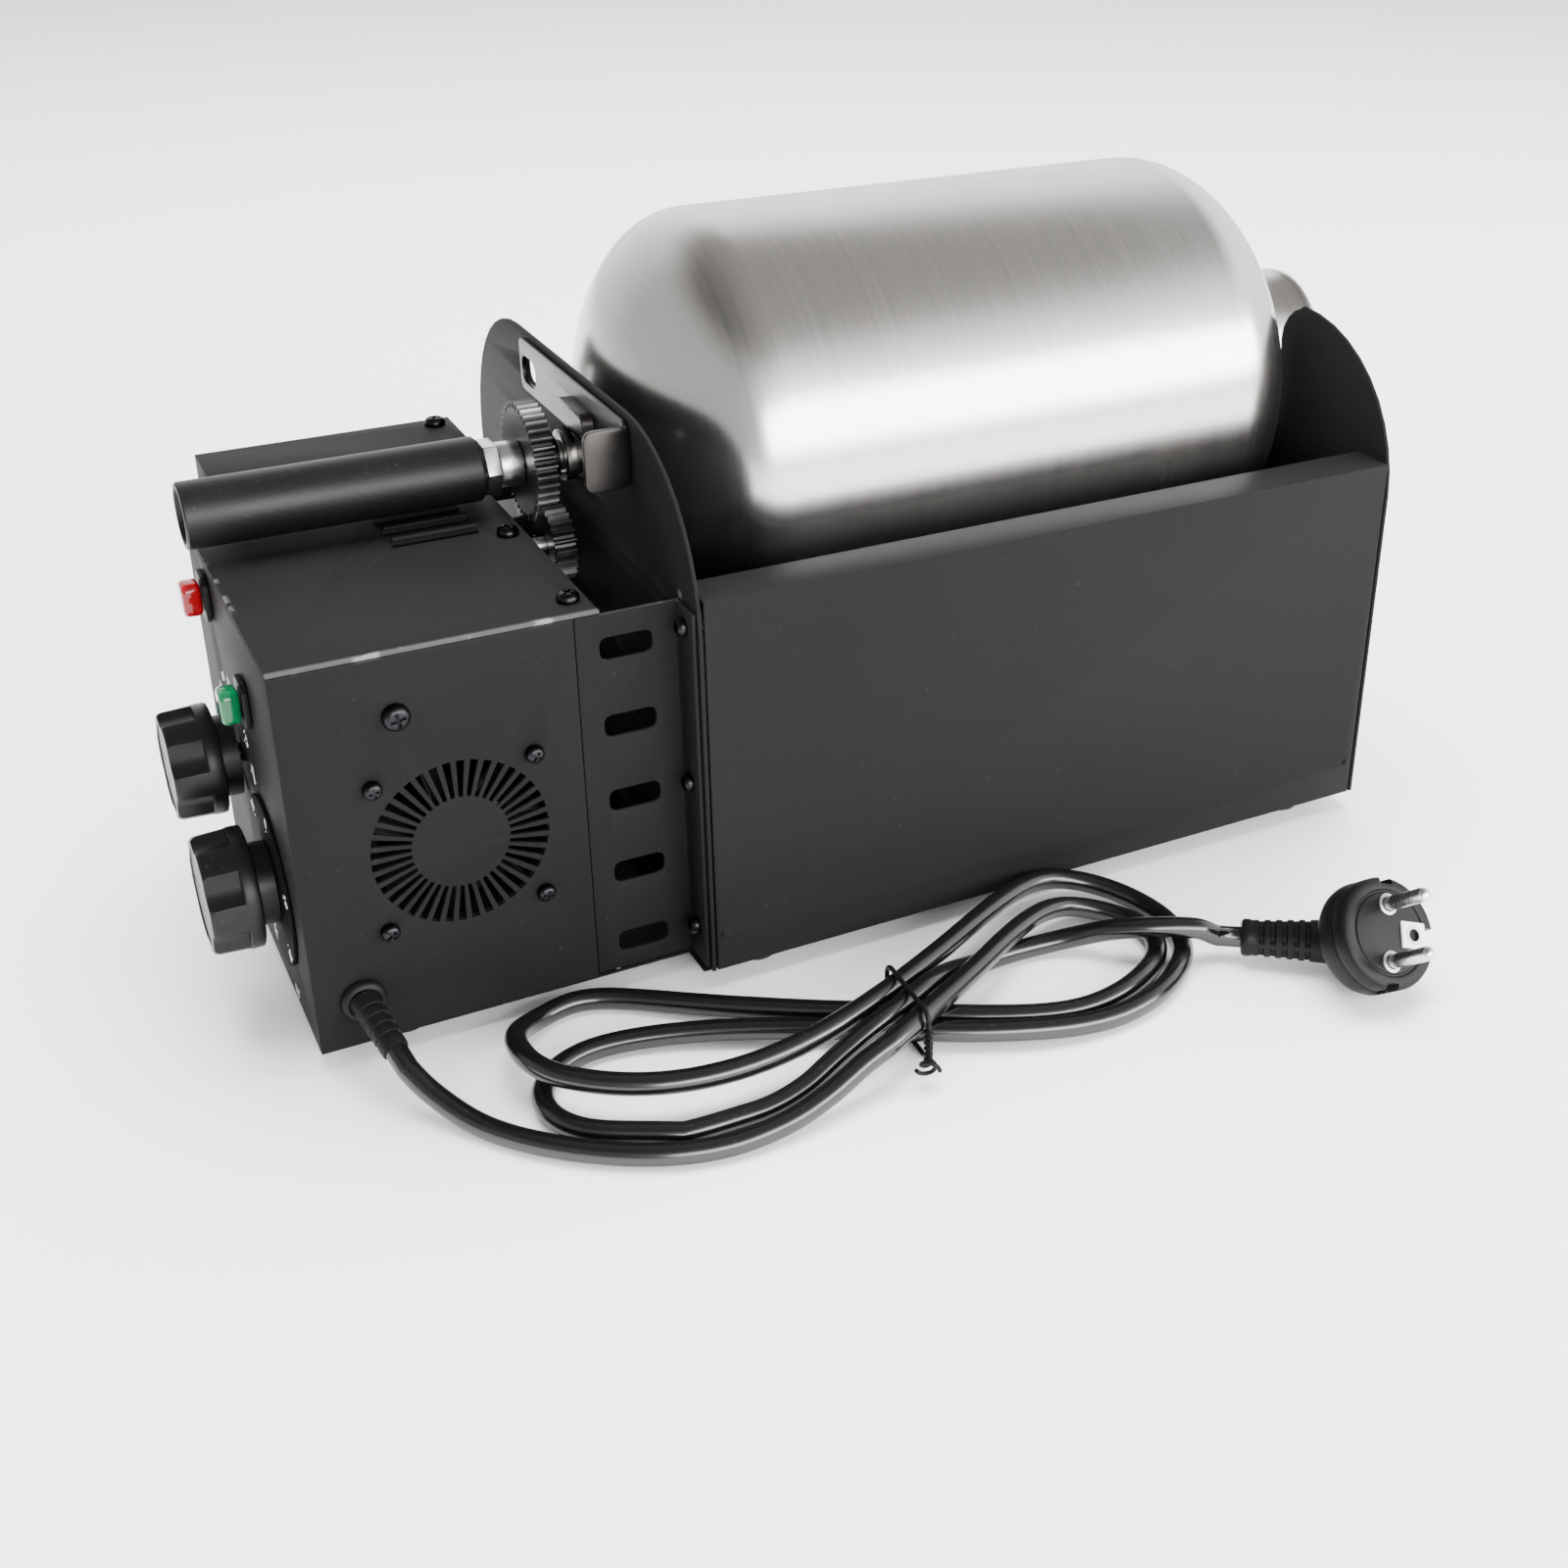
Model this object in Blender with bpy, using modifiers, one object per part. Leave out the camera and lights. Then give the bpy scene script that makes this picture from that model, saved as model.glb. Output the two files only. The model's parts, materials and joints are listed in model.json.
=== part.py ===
"""Home coffee bean roaster: a turning steel drum over electric heaters, with its control box and mains lead.

Bench coordinates: X runs from the control face to the drum's mouth, Y from the front to the back and Z up,
with zero at the control face, the box's front sheet and the underside of the sheet metal. The empty that
carries every piece moves them so that the part stands on Z = 0 with its drum axis over Y = 0.
"""
import math

import bmesh
import bpy
import numpy as np
from mathutils import Matrix, Vector

# Clearances and sheet
gap = 0.0003
overrun = 0.002
merge_distance = 0.00001
sheet = 0.0012
smooth_angle = math.radians(35)

# Control box
box_length = 0.091
box_depth = 0.127
box_height = 0.1301
cover_length = 0.0995
drive_wall_x = 0.0978
drive_wall_fold = 0.0085
front_screw_x = 0.0350
front_screw_z = 0.1106

# Raised housing behind the box
housing_left = 0.0106
housing_right = 0.1000
housing_back = 0.1600
housing_top = 0.1440

# Fan and its grille
fan_x = 0.0505
fan_z = 0.0634
fan_hole_pitch = 0.0500
fan_frame_size = 0.0600
fan_frame_depth = 0.0150
fan_bore_radius = 0.0280
grille_inner_radius = 0.0155
grille_outer_radius = 0.0280
grille_slots = 40
grille_slot_inner = 0.0013
grille_slot_outer = 0.0026
fan_hub_radius = 0.0140
fan_blades = 7
fan_blade_thickness = 0.0012
fan_blade_chord = 0.0120
fan_blade_pitch = math.radians(50)
fan_corner_share = 0.12
fan_strut_share = 1.50
fan_strut_root_share = 0.50
fan_blade_root_share = 0.80
fan_strut_angles = (math.radians(45), math.radians(165), math.radians(285))

# Top cover louvres
louvre_left = 0.0570
louvre_length = 0.0285
louvre_first_y = 0.0770
louvre_pitch = 0.0113
louvre_count = 4
louvre_slit = 0.0030
louvre_rise = 0.0026
louvre_wall = 0.0009

# Slotted brackets between the box and the trough
bracket_end_x = 0.1252
bracket_bottom = 0.0017
bracket_top = 0.1298
bracket_flange = 0.0133
slot_left = 0.0988
slot_length = 0.0172
slot_height = 0.0076
slot_lowest_z = 0.0116
slot_pitch = 0.0266
slot_count = 5
bracket_screw_heights = (0.0152, 0.0690, 0.1235)
slot_corner_share = 0.30

# Trough
plate_thickness = 0.0014
left_plate_x = 0.1256
right_plate_x = 0.3918
trough_front = -0.0144
plate_height = 0.1775
plate_corner = 0.0560
neck_notch_radius = 0.0470
notch_ear_radius = 0.0150
panel_top = 0.1339
panel_flange = 0.0167
panel_inner_drop = 0.0100
side_gap = 0.0006
panel_rivet_inset = 0.0030
panel_rivet_z = 0.0141
panel_rivet_proud = 0.0009
panel_rivet_radius = 0.0016
rivet_crown_share = 0.70

# Drum and its drive, all turning about one axis
axis_y = 0.0970
axis_z = 0.1460
drum_radius = 0.0780
drum_wall = 0.0012
dome_left_x = 0.1770
dome_left_depth = 0.0435
dome_right_x = 0.3525
dome_right_depth = 0.0460
neck_radius = 0.0270
neck_end_x = 0.4260
neck_fillet = 0.0050
neck_fillet_share = 0.6
drum_segments = 32
dome_steps = 6
vane_count = 3
vane_height = 0.0180
vane_thickness = 0.0015
vane_foot = 0.0080
vane_seat_share = 0.975
shaft_radius = 0.0050
shaft_start_x = 0.0820
hub_radius = 0.0130
hub_length = 0.0037
bush_radius = 0.0070
bush_flange_radius = 0.0090
bush_start_x = 0.1215
bush_end_x = 0.1292
handle_start_x = -0.0044
handle_length = 0.0976
handle_radius = 0.0110
handle_bore_radius = 0.0090
handle_bore_depth = 0.0840
nut_across_flats = 0.0170
nut_length = 0.0050
collar_radius = 0.0078
gear_module = 0.0010
drum_gear_teeth = 39
motor_gear_teeth = 24
gear_start_x = 0.1070
gear_face = 0.0075
gear_hub_radius = 0.0080
gear_hub_length = 0.0048
gear_backlash = 0.0004
gear_tooth_depth_share = 1.25
gear_flank_share = 0.42
motor_gear_angle = math.radians(225)

# Motor
motor_shaft_radius = 0.0030
motor_radius = 0.0250
motor_length = 0.0400
motor_end_x = 0.0905
motor_drop = 0.0195
motor_post_share = 0.72
motor_boss_share = 1.60

# Window and latch on the left end plate
window_front = 0.0700
window_top = 0.1540
latch_x = 0.1239
latch_sheet = 0.0014
latch_front = 0.0370
latch_back = 0.1430
latch_bottom = 0.1568
latch_top = 0.1755
latch_tab_reach = 0.0137
latch_tab_bottom = 0.1540
latch_tab_corner = 0.0030
latch_pivot_y = 0.0500
latch_pivot_z = 0.1645
latch_hole_y = 0.1335
latch_hole_z = 0.1648
latch_hole_length = 0.0150
latch_hole_height = 0.0100
latch_hole_corner_share = 0.40
lip_front = 0.0665
lip_back = 0.0895
lip_top = 0.1690
lip_foot = 0.1580
lip_width = 0.0038
lip_corner = 0.0040

# Neck rollers
roller_radius = 0.0080
roller_length = 0.0080
roller_x = 0.4020
roller_angle = math.radians(45)
roller_pin_radius = 0.0025
support_step_x = 0.3990
support_sheet = 0.0015
support_half_width = 0.0370
support_bottom = 0.0700
support_shelf = 0.0940
support_top = 0.1265
support_notch_radius = 0.0300
support_screw_reach = 0.0240
support_screw_z = 0.0800

# Heaters
heater_radius = 0.0050
heater_z = 0.0340
heater_pitch = 0.0400
heater_cap_radius = 0.0075
heater_cap_length = 0.0100
reflector_sheet = 0.0008
reflector_bottom = 0.0120
reflector_top = 0.1280
reflector_side_inset = 0.0190
reflector_corner = 0.0420

# Base and feet
foot_height = 0.0065
foot_radius = 0.0075
foot_inset = 0.0145
foot_taper_share = 0.88
base_sheet = 0.0014
base_inset = 0.0016

# Controls on the left face
timer_y = 0.0425
timer_z = 0.0405
timer_dial_radius = 0.0283
timer_dial_thickness = 0.0010
timer_knob_radius = 0.0198
thermostat_y = 0.0800
thermostat_z = 0.0685
thermostat_knob_radius = 0.0184
knob_stand_off = 0.0073
knob_depth = 0.0158
knob_flutes = 8
knob_flute_depth = 0.0016
knob_flute_share = 0.84
knob_points_per_flute = 6
knob_shaft_radius = 0.0030
timer_body_size = 0.0400
timer_body_depth = 0.0280
thermostat_body_size = 0.0340
thermostat_body_depth = 0.0240
heat_lamp_y = 0.0960
heat_lamp_z = 0.1185
power_lamp_y = 0.0440
power_lamp_z = 0.1035
lamp_bezel_width = 0.0130
lamp_bezel_height = 0.0158
lamp_bezel_thickness = 0.0018
lamp_lens_width = 0.0090
lamp_lens_height = 0.0112
lamp_lens_depth = 0.0060
lamp_body_depth = 0.0220
lamp_chamfer = 0.0025

# Screws
pan_head_radius = 0.0029
pan_head_height = 0.0021
pan_shank_radius = 0.0014
screw_crown_share = 0.55
screw_segments = 8
large_head_radius = 0.0042
large_head_height = 0.0028
cover_head_radius = 0.0036
cover_screw_inset = 0.0060
cover_screw_ys = (0.0112, 0.0709)
housing_screw_back = 0.0070

# Mains lead
cord_radius = 0.0036
gland_x = 0.0148
gland_z = 0.0165
gland_flange_radius = 0.0072
gland_flange_thickness = 0.0028
gland_tail_length = 0.0200
gland_tail_radius = 0.0047
gland_tilt = math.radians(20)
gland_turn = math.radians(12)
gland_rim_share = 0.90

# Figure-eight hank of the lead: two loops to the right and two to the left, in turn, from the box's end
hank_x = 0.1710
hank_y = -0.0660
hank_angle = math.radians(-2.5)
hank_points_per_loop = 24
hank_waist_width = 0.0580
hank_reaches = (0.1000, 0.1230, 0.1105, 0.1170)
hank_widths = (0.0530, 0.0620, 0.0580, 0.0490)
hank_loop_angles = (math.radians(12), math.radians(-13), math.radians(12), math.radians(-7))
hank_turn_share = 0.34
hank_pass_offsets = (-0.0098, 0.0052, 0.0092, -0.0052, 0.0000)
hank_layer_gap = 0.0008
hank_end_length = 0.0080
hank_turns = 3.70
# Turns, and the layer there: 0 on the floor, 1 over the tie's wire, 2 over another strand
hank_level_shares = ((0, 2), (0.12, 2), (0.45, 0), (0.80, 0), (0.93, 1), (1.07, 1), (1.25, 0), (1.36, 0),
                     (1.56, 2), (2.10, 2), (2.50, 0), (2.80, 0), (2.93, 1), (3.07, 1), (3.30, 0), (4, 0))

# The lead's free stretches, from the gland to the hank and from the hank to the plug's sleeve:
# X, Y and how far the lead lies over its place on the floor
lead_route = (
    (0.0255, -0.0375, 0.0045), (0.0345, -0.0510, 0.0002), (0.0460, -0.0655, 0.0000), (0.0620, -0.0790, 0.0000),
    (0.0800, -0.0890, 0.0000), (0.0980, -0.0935, 0.0000), (0.1160, -0.0930, 0.0010), (0.1310, -0.0900, 0.0035),
    (0.1460, -0.0860, 0.0080),
)
tail_route = (
    (0.1040, -0.0832, 0.0000), (0.1160, -0.0830, 0.0002), (0.1280, -0.0812, 0.0022), (0.1400, -0.0778, 0.0060),
    (0.1560, -0.0725, 0.0096), (0.1710, -0.0660, 0.0098), (0.1835, -0.0598, 0.0095), (0.1955, -0.0530, 0.0055),
    (0.2070, -0.0478, 0.0012), (0.2200, -0.0455, 0.0000), (0.2340, -0.0465, 0.0003), (0.2450, -0.0512, 0.0030),
    (0.2540, -0.0590, 0.0075), (0.2650, -0.0665, 0.0095), (0.2780, -0.0722, 0.0086),
)

# Wire tie round the hank
tie_radius = 0.0008
tie_side_gap = 0.0012
tie_slant_share = 1.15

# Plug
plug_x = 0.3209
plug_y = -0.1115
plug_radius = 0.0187
plug_thickness = 0.0150
plug_back_radius = 0.0110
plug_back_length = 0.0080
plug_turn = math.radians(-83)
plug_tilt = math.radians(39)
plug_roll = math.radians(24)
plug_pin_radius = 0.0024
plug_pin_length = 0.0190
plug_pin_pitch = 0.0190
plug_sleeve_x = 0.2920
plug_sleeve_y = -0.0790
plug_sleeve_rise = 0.0020
plug_sleeve_length = 0.0400
plug_sleeve_radius = 0.0080
plug_sleeve_end_radius = 0.0058
plug_sleeve_turn = math.radians(-37)
plug_insert_width = 0.0100
plug_insert_height = 0.0130
plug_insert_depth = 0.0006
plug_cone_share = 0.97
plug_insert_shift = 0.0095

# Inside the box and the trough
terminal_x = 0.0350
terminal_z = 0.0500
terminal_length = 0.0450
terminal_depth = 0.0160
terminal_height = 0.0180
bulb_y = 0.0400
bulb_z = 0.0520
bulb_length = 0.0600
bulb_radius = 0.0025

# Worked out from the sizes above
trough_back = 2 * axis_y - trough_front
box_back = box_depth
front_x_least = -(knob_stand_off + knob_depth)
middle_x = (front_x_least + neck_end_x) / 2
cover_top = box_height + sheet
gear_distance = gear_module * (drum_gear_teeth + motor_gear_teeth) / 2
motor_y = axis_y + gear_distance * math.cos(motor_gear_angle)
motor_z = axis_z + gear_distance * math.sin(motor_gear_angle)
roller_distance = neck_radius + roller_radius + gap
floor_z = -foot_height
cord_low_z = floor_z + cord_radius + gap / 3

collection = None
cutters = None
root = None


def start_scene():
    """Empties the scene and makes the collections and the empty that carries the part."""
    global collection, cutters, root
    for obj in list(bpy.data.objects):
        bpy.data.objects.remove(obj, do_unlink=True)
    collection = bpy.data.collections.new("coffee_roaster")
    cutters = bpy.data.collections.new("cutters")
    bpy.context.scene.collection.children.link(collection)
    bpy.context.scene.collection.children.link(cutters)
    root = bpy.data.objects.new("roaster_origin", None)
    root.location = (-middle_x, -axis_y, foot_height)
    collection.objects.link(root)


def make_material(name, colour, roughness, metallic=0.0):
    material = bpy.data.materials.new(name)
    material.use_nodes = True
    shader = material.node_tree.nodes["Principled BSDF"]
    shader.inputs["Base Color"].default_value = (*colour, 1.0)
    shader.inputs["Roughness"].default_value = roughness
    shader.inputs["Metallic"].default_value = metallic
    material.diffuse_color = (*colour, 1.0)
    return material


def finish_mesh(name, bm, material, location=(0, 0, 0), smooth=False, cutter=False):
    """Turns a bmesh into an object whose origin is at the location given, in bench coordinates."""
    bmesh.ops.recalc_face_normals(bm, faces=bm.faces)
    mesh = bpy.data.meshes.new(name)
    bm.to_mesh(mesh)
    bm.free()
    mesh.transform(Matrix.Translation(-Vector(location)))
    obj = bpy.data.objects.new(name, mesh)
    obj.location = location
    obj.parent = root
    if cutter:
        cutters.objects.link(obj)
        obj.hide_render = True
        obj.display_type = "WIRE"
        return obj
    collection.objects.link(obj)
    mesh.materials.append(material)
    if smooth:
        mesh.shade_smooth()
        mesh.set_sharp_from_angle(angle=smooth_angle)
    return obj


def add_box(bm, low, high):
    """A cuboid between two corners."""
    size = [b - a for a, b in zip(low, high)]
    middle = [(a + b) / 2 for a, b in zip(low, high)]
    made = bmesh.ops.create_cube(bm, size=1)
    bmesh.ops.scale(bm, vec=size, verts=made["verts"])
    bmesh.ops.translate(bm, vec=middle, verts=made["verts"])


def turn_to(direction):
    """The rotation that takes +Z to a direction."""
    return Vector((0, 0, 1)).rotation_difference(Vector(direction).normalized()).to_matrix().to_4x4()


def add_cylinder(bm, start, end, radius, end_radius=None, segments=24):
    """A cylinder or cone between two points."""
    start, end = Vector(start), Vector(end)
    made = bmesh.ops.create_cone(bm, cap_ends=True, segments=segments, radius1=radius,
                                 radius2=radius if end_radius is None else end_radius,
                                 depth=(end - start).length)
    matrix = Matrix.Translation((start + end) / 2) @ turn_to(end - start)
    bmesh.ops.transform(bm, matrix=matrix, verts=made["verts"])


def box_piece(name, low, high, material):
    bm = bmesh.new()
    add_box(bm, low, high)
    return finish_mesh(name, bm, material)


def cylinder_piece(name, start, end, radius, material, location=(0, 0, 0), segments=24):
    bm = bmesh.new()
    add_cylinder(bm, start, end, radius, segments=segments)
    return finish_mesh(name, bm, material, location, smooth=True)


def cut(obj, bm, name, operation="DIFFERENCE"):
    """Cuts or joins a bmesh to an object with a Boolean modifier and keeps the tool as a wire object."""
    tool = finish_mesh(name, bm, None, cutter=True)
    modifier = obj.modifiers.new(name, "BOOLEAN")
    modifier.operation = operation
    modifier.solver = "EXACT"
    modifier.use_self = True
    modifier.object = tool
    return modifier


def turned(name, profile, material, centre, axis=(1, 0, 0), steps=32):
    """A turned piece: (radius, height) points run round the section, turned about an axis through the centre.

    The section's outer side runs from its far end back to its near end.
    """
    mesh = bpy.data.meshes.new(name)
    bm = bmesh.new()
    points = [bm.verts.new((radius, 0, height)) for radius, height in profile]
    for a, b in zip(points, points[1:]):
        bm.edges.new((a, b))
    if profile[0][0] > 0:
        bm.edges.new((points[-1], points[0]))
    bm.to_mesh(mesh)
    bm.free()
    mesh.materials.append(material)
    obj = bpy.data.objects.new(name, mesh)
    obj.parent = root
    obj.location = centre
    obj.rotation_euler = turn_to(axis).to_euler()
    collection.objects.link(obj)
    screw = obj.modifiers.new("turning", "SCREW")
    screw.steps = steps
    screw.render_steps = steps
    screw.use_merge_vertices = True
    screw.merge_threshold = merge_distance
    screw.use_smooth_shade = True
    return obj


def arc(centre, radius, start, end, steps):
    """Points along an arc, both ends included."""
    angles = [start + (end - start) * i / steps for i in range(steps + 1)]
    return [(centre[0] + radius * math.cos(a), centre[1] + radius * math.sin(a)) for a in angles]


def circle(centre, radius, steps=16):
    return arc(centre, radius, 0, 2 * math.pi, steps)[:-1]


def rounded_rectangle(low, high, radius, steps=3):
    """A rectangle's outline with round corners, counter-clockwise from the lower right corner."""
    quarter = math.pi / 2
    corners = ((high[0] - radius, low[1] + radius, -quarter), (high[0] - radius, high[1] - radius, 0),
               (low[0] + radius, high[1] - radius, quarter), (low[0] + radius, low[1] + radius, 2 * quarter))
    points = []
    for x, y, start in corners:
        points += arc((x, y), radius, start, start + quarter, steps)
    return points


def add_flat(bm, outlines, near, far, plane):
    """Adds a flat sheet between two places on the axis that the plane's name leaves out.

    The first outline is the sheet's edge and the others are its holes. Plane YZ gives a sheet across X,
    XZ one across Y and XY one across Z.
    """
    curve = bpy.data.curves.new("outline", "CURVE")
    curve.dimensions = "2D"
    curve.fill_mode = "BOTH"
    curve.extrude = abs(far - near) / 2
    for outline in outlines:
        spline = curve.splines.new("POLY")
        spline.points.add(len(outline) - 1)
        for point, (a, b) in zip(spline.points, outline):
            point.co = (a, b, 0, 1)
        spline.use_cyclic_u = True
    holder = bpy.data.objects.new("outline", curve)
    bpy.context.scene.collection.objects.link(holder)
    bpy.context.view_layer.update()
    mesh = bpy.data.meshes.new_from_object(holder.evaluated_get(bpy.context.evaluated_depsgraph_get()))
    bpy.data.objects.remove(holder, do_unlink=True)
    columns = {"YZ": ((0, 0, 1), (1, 0, 0), (0, 1, 0)), "XZ": ((1, 0, 0), (0, 0, -1), (0, 1, 0)),
               "XY": ((1, 0, 0), (0, 1, 0), (0, 0, 1))}[plane]
    turn = Matrix(columns).to_4x4()
    middle = (near + far) / 2
    place = {"YZ": (middle, 0, 0), "XZ": (0, middle, 0), "XY": (0, 0, middle)}[plane]
    mesh.transform(Matrix.Translation(place) @ turn)
    part = bmesh.new()
    part.from_mesh(mesh)
    bmesh.ops.remove_doubles(part, verts=part.verts, dist=merge_distance)
    bmesh.ops.recalc_face_normals(part, faces=part.faces)
    clean = bpy.data.meshes.new("outline")
    part.to_mesh(clean)
    part.free()
    bm.from_mesh(clean)


def flat_piece(name, outlines, near, far, plane, material, location=(0, 0, 0), smooth=False):
    bm = bmesh.new()
    add_flat(bm, outlines, near, far, plane)
    return finish_mesh(name, bm, material, location, smooth)


def thick_path(points, thickness):
    """The closed outline of a bent sheet whose right-hand face follows the points."""
    points = [Vector(p) for p in points]
    directions = [(b - a).normalized() for a, b in zip(points, points[1:])]
    normals = [Vector((-d.y, d.x)) for d in directions]
    inner = [points[0] + normals[0] * thickness]
    for point, before, after in zip(points[1:-1], normals, normals[1:]):
        mitre = (before + after) / (1 + before.dot(after))
        inner.append(point + mitre * thickness)
    inner.append(points[-1] + normals[-1] * thickness)
    return [tuple(p) for p in points] + [tuple(p) for p in reversed(inner)]


def screw_piece(name, seat, direction, radius, height, shank, material):
    """A single pan-head screw."""
    bm = bmesh.new()
    add_screw(bm, Vector(seat), Vector(direction).normalized(), radius, height, shank)
    return finish_mesh(name, bm, material, smooth=True)


def add_screw(bm, seat, way, radius, height, shank):
    """One closed pan-head screw, spun from its section."""
    crown = (radius * screw_crown_share, height)
    rim = (radius, height * screw_crown_share)
    section = ((0, height), crown, rim, (radius, 0), (pan_shank_radius, 0), (pan_shank_radius, -shank),
               (0, -shank))
    part = bmesh.new()
    points = [part.verts.new((size, 0, -rise)) for size, rise in section]
    edges = [part.edges.new((a, b)) for a, b in zip(points, points[1:])]
    bmesh.ops.spin(part, geom=points + edges, cent=(0, 0, 0), axis=(0, 0, 1), angle=2 * math.pi,
                   steps=screw_segments, use_merge=True)
    bmesh.ops.remove_doubles(part, verts=part.verts, dist=merge_distance)
    bmesh.ops.transform(part, matrix=Matrix.Translation(seat) @ turn_to(way), verts=part.verts)
    held = bpy.data.meshes.new("screw")
    part.to_mesh(held)
    part.free()
    bm.from_mesh(held)


def smooth_path(route, spacing):
    """Evenly spaced points on a smooth curve through a route whose first and last legs stay straight."""
    route = [Vector(p) for p in route]
    fine = []
    steps = 24
    for p0, p1, p2, p3 in zip(route, route[1:], route[2:], route[3:]):
        for i in range(steps):
            t = i / steps
            fine.append((2 * p1 + (p2 - p0) * t + (2 * p0 - 5 * p1 + 4 * p2 - p3) * t * t
                         + (3 * p1 - p0 - 3 * p2 + p3) * t ** 3) / 2)
    fine.append(route[-2])
    length = path_length(fine)
    return [route[0], *even_points(fine, max(2, round(length / spacing))), route[-1]]


def tube(name, points, radius, material, resolution=2, closed=False):
    """A round tube with filled ends along a list of points."""
    curve = bpy.data.curves.new(name, "CURVE")
    curve.dimensions = "3D"
    curve.bevel_depth = radius
    curve.bevel_resolution = resolution
    curve.use_fill_caps = True
    spline = curve.splines.new("POLY")
    spline.points.add(len(points) - 1)
    for point, place in zip(spline.points, points):
        point.co = (*place, 1)
    spline.use_cyclic_u = closed
    curve.materials.append(material)
    obj = bpy.data.objects.new(name, curve)
    obj.parent = root
    collection.objects.link(obj)
    return obj


def path_length(points):
    return sum((b - a).length for a, b in zip(points, points[1:]))


def make_materials():
    """Every finish of the part, by plain names."""
    return {
        "black_sheet": make_material("black_sheet", (0.018, 0.018, 0.020), 0.55),
        "dark_panel": make_material("dark_panel", (0.022, 0.022, 0.024), 0.45),
        "drum_steel": make_material("drum_steel", (0.60, 0.58, 0.56), 0.28, 1.0),
        "bright_steel": make_material("bright_steel", (0.72, 0.71, 0.69), 0.22, 1.0),
        "gear_steel": make_material("gear_steel", (0.12, 0.12, 0.12), 0.35, 1.0),
        "zinc_sheet": make_material("zinc_sheet", (0.50, 0.51, 0.52), 0.45, 1.0),
        "handle_black": make_material("handle_black", (0.015, 0.015, 0.016), 0.60),
        "knob_black": make_material("knob_black", (0.010, 0.010, 0.011), 0.35),
        "plastic_black": make_material("plastic_black", (0.012, 0.012, 0.013), 0.45),
        "lamp_red": make_material("lamp_red", (0.60, 0.01, 0.01), 0.15),
        "lamp_green": make_material("lamp_green", (0.00, 0.30, 0.10), 0.15),
        "rubber_black": make_material("rubber_black", (0.014, 0.014, 0.014), 0.80),
        "cord_black": make_material("cord_black", (0.010, 0.010, 0.011), 0.30),
        "ceramic": make_material("ceramic", (0.78, 0.75, 0.68), 0.60),
        "heater_glass": make_material("heater_glass", (0.55, 0.50, 0.46), 0.20),
        "brass": make_material("brass", (0.62, 0.48, 0.24), 0.35, 1.0),
        "motor_tin": make_material("motor_tin", (0.42, 0.42, 0.43), 0.50, 1.0),
        "screw_black": make_material("screw_black", (0.030, 0.030, 0.032), 0.35, 0.8),
        "insert_white": make_material("insert_white", (0.70, 0.70, 0.70), 0.40),
    }


def build_base(m):
    """The flat pan that the walls stand on, with six rubber feet."""
    low = base_inset
    notch = left_plate_x - gap - low
    front = trough_front + low
    back = trough_back - low
    outline = [(low, low), (notch, low), (notch, front + low), (right_plate_x - gap, front + low),
               (right_plate_x - gap, back - low), (notch, back - low), (notch, box_back - low),
               (low, box_back - low)]
    flat_piece("base_pan", [outline], gap - base_sheet, -gap, "XY", m["black_sheet"])
    feet_x = (left_plate_x + foot_inset + foot_radius, right_plate_x - foot_inset - foot_radius)
    box_foot_x = foot_inset + 2 * foot_radius
    feet = (("foot_front_left", feet_x[0], trough_front + foot_inset),
            ("foot_front_right", feet_x[1], trough_front + foot_inset),
            ("foot_rear_left", feet_x[0], trough_back - foot_inset),
            ("foot_rear_right", feet_x[1], trough_back - foot_inset),
            ("foot_box_front", box_foot_x, foot_inset),
            ("foot_box_rear", box_foot_x, box_back - foot_inset))
    for name, x, y in feet:
        bm = bmesh.new()
        add_cylinder(bm, (x, y, floor_z), (x, y, -base_sheet), foot_radius * foot_taper_share, foot_radius)
        finish_mesh(name, bm, m["rubber_black"], smooth=True)


def fan_corners():
    half = fan_hole_pitch / 2
    return [(fan_x + a * half, fan_z + b * half) for a in (-1, 1) for b in (-1, 1)]


def lamp_places():
    return ((heat_lamp_y, heat_lamp_z), (power_lamp_y, power_lamp_z))


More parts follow.
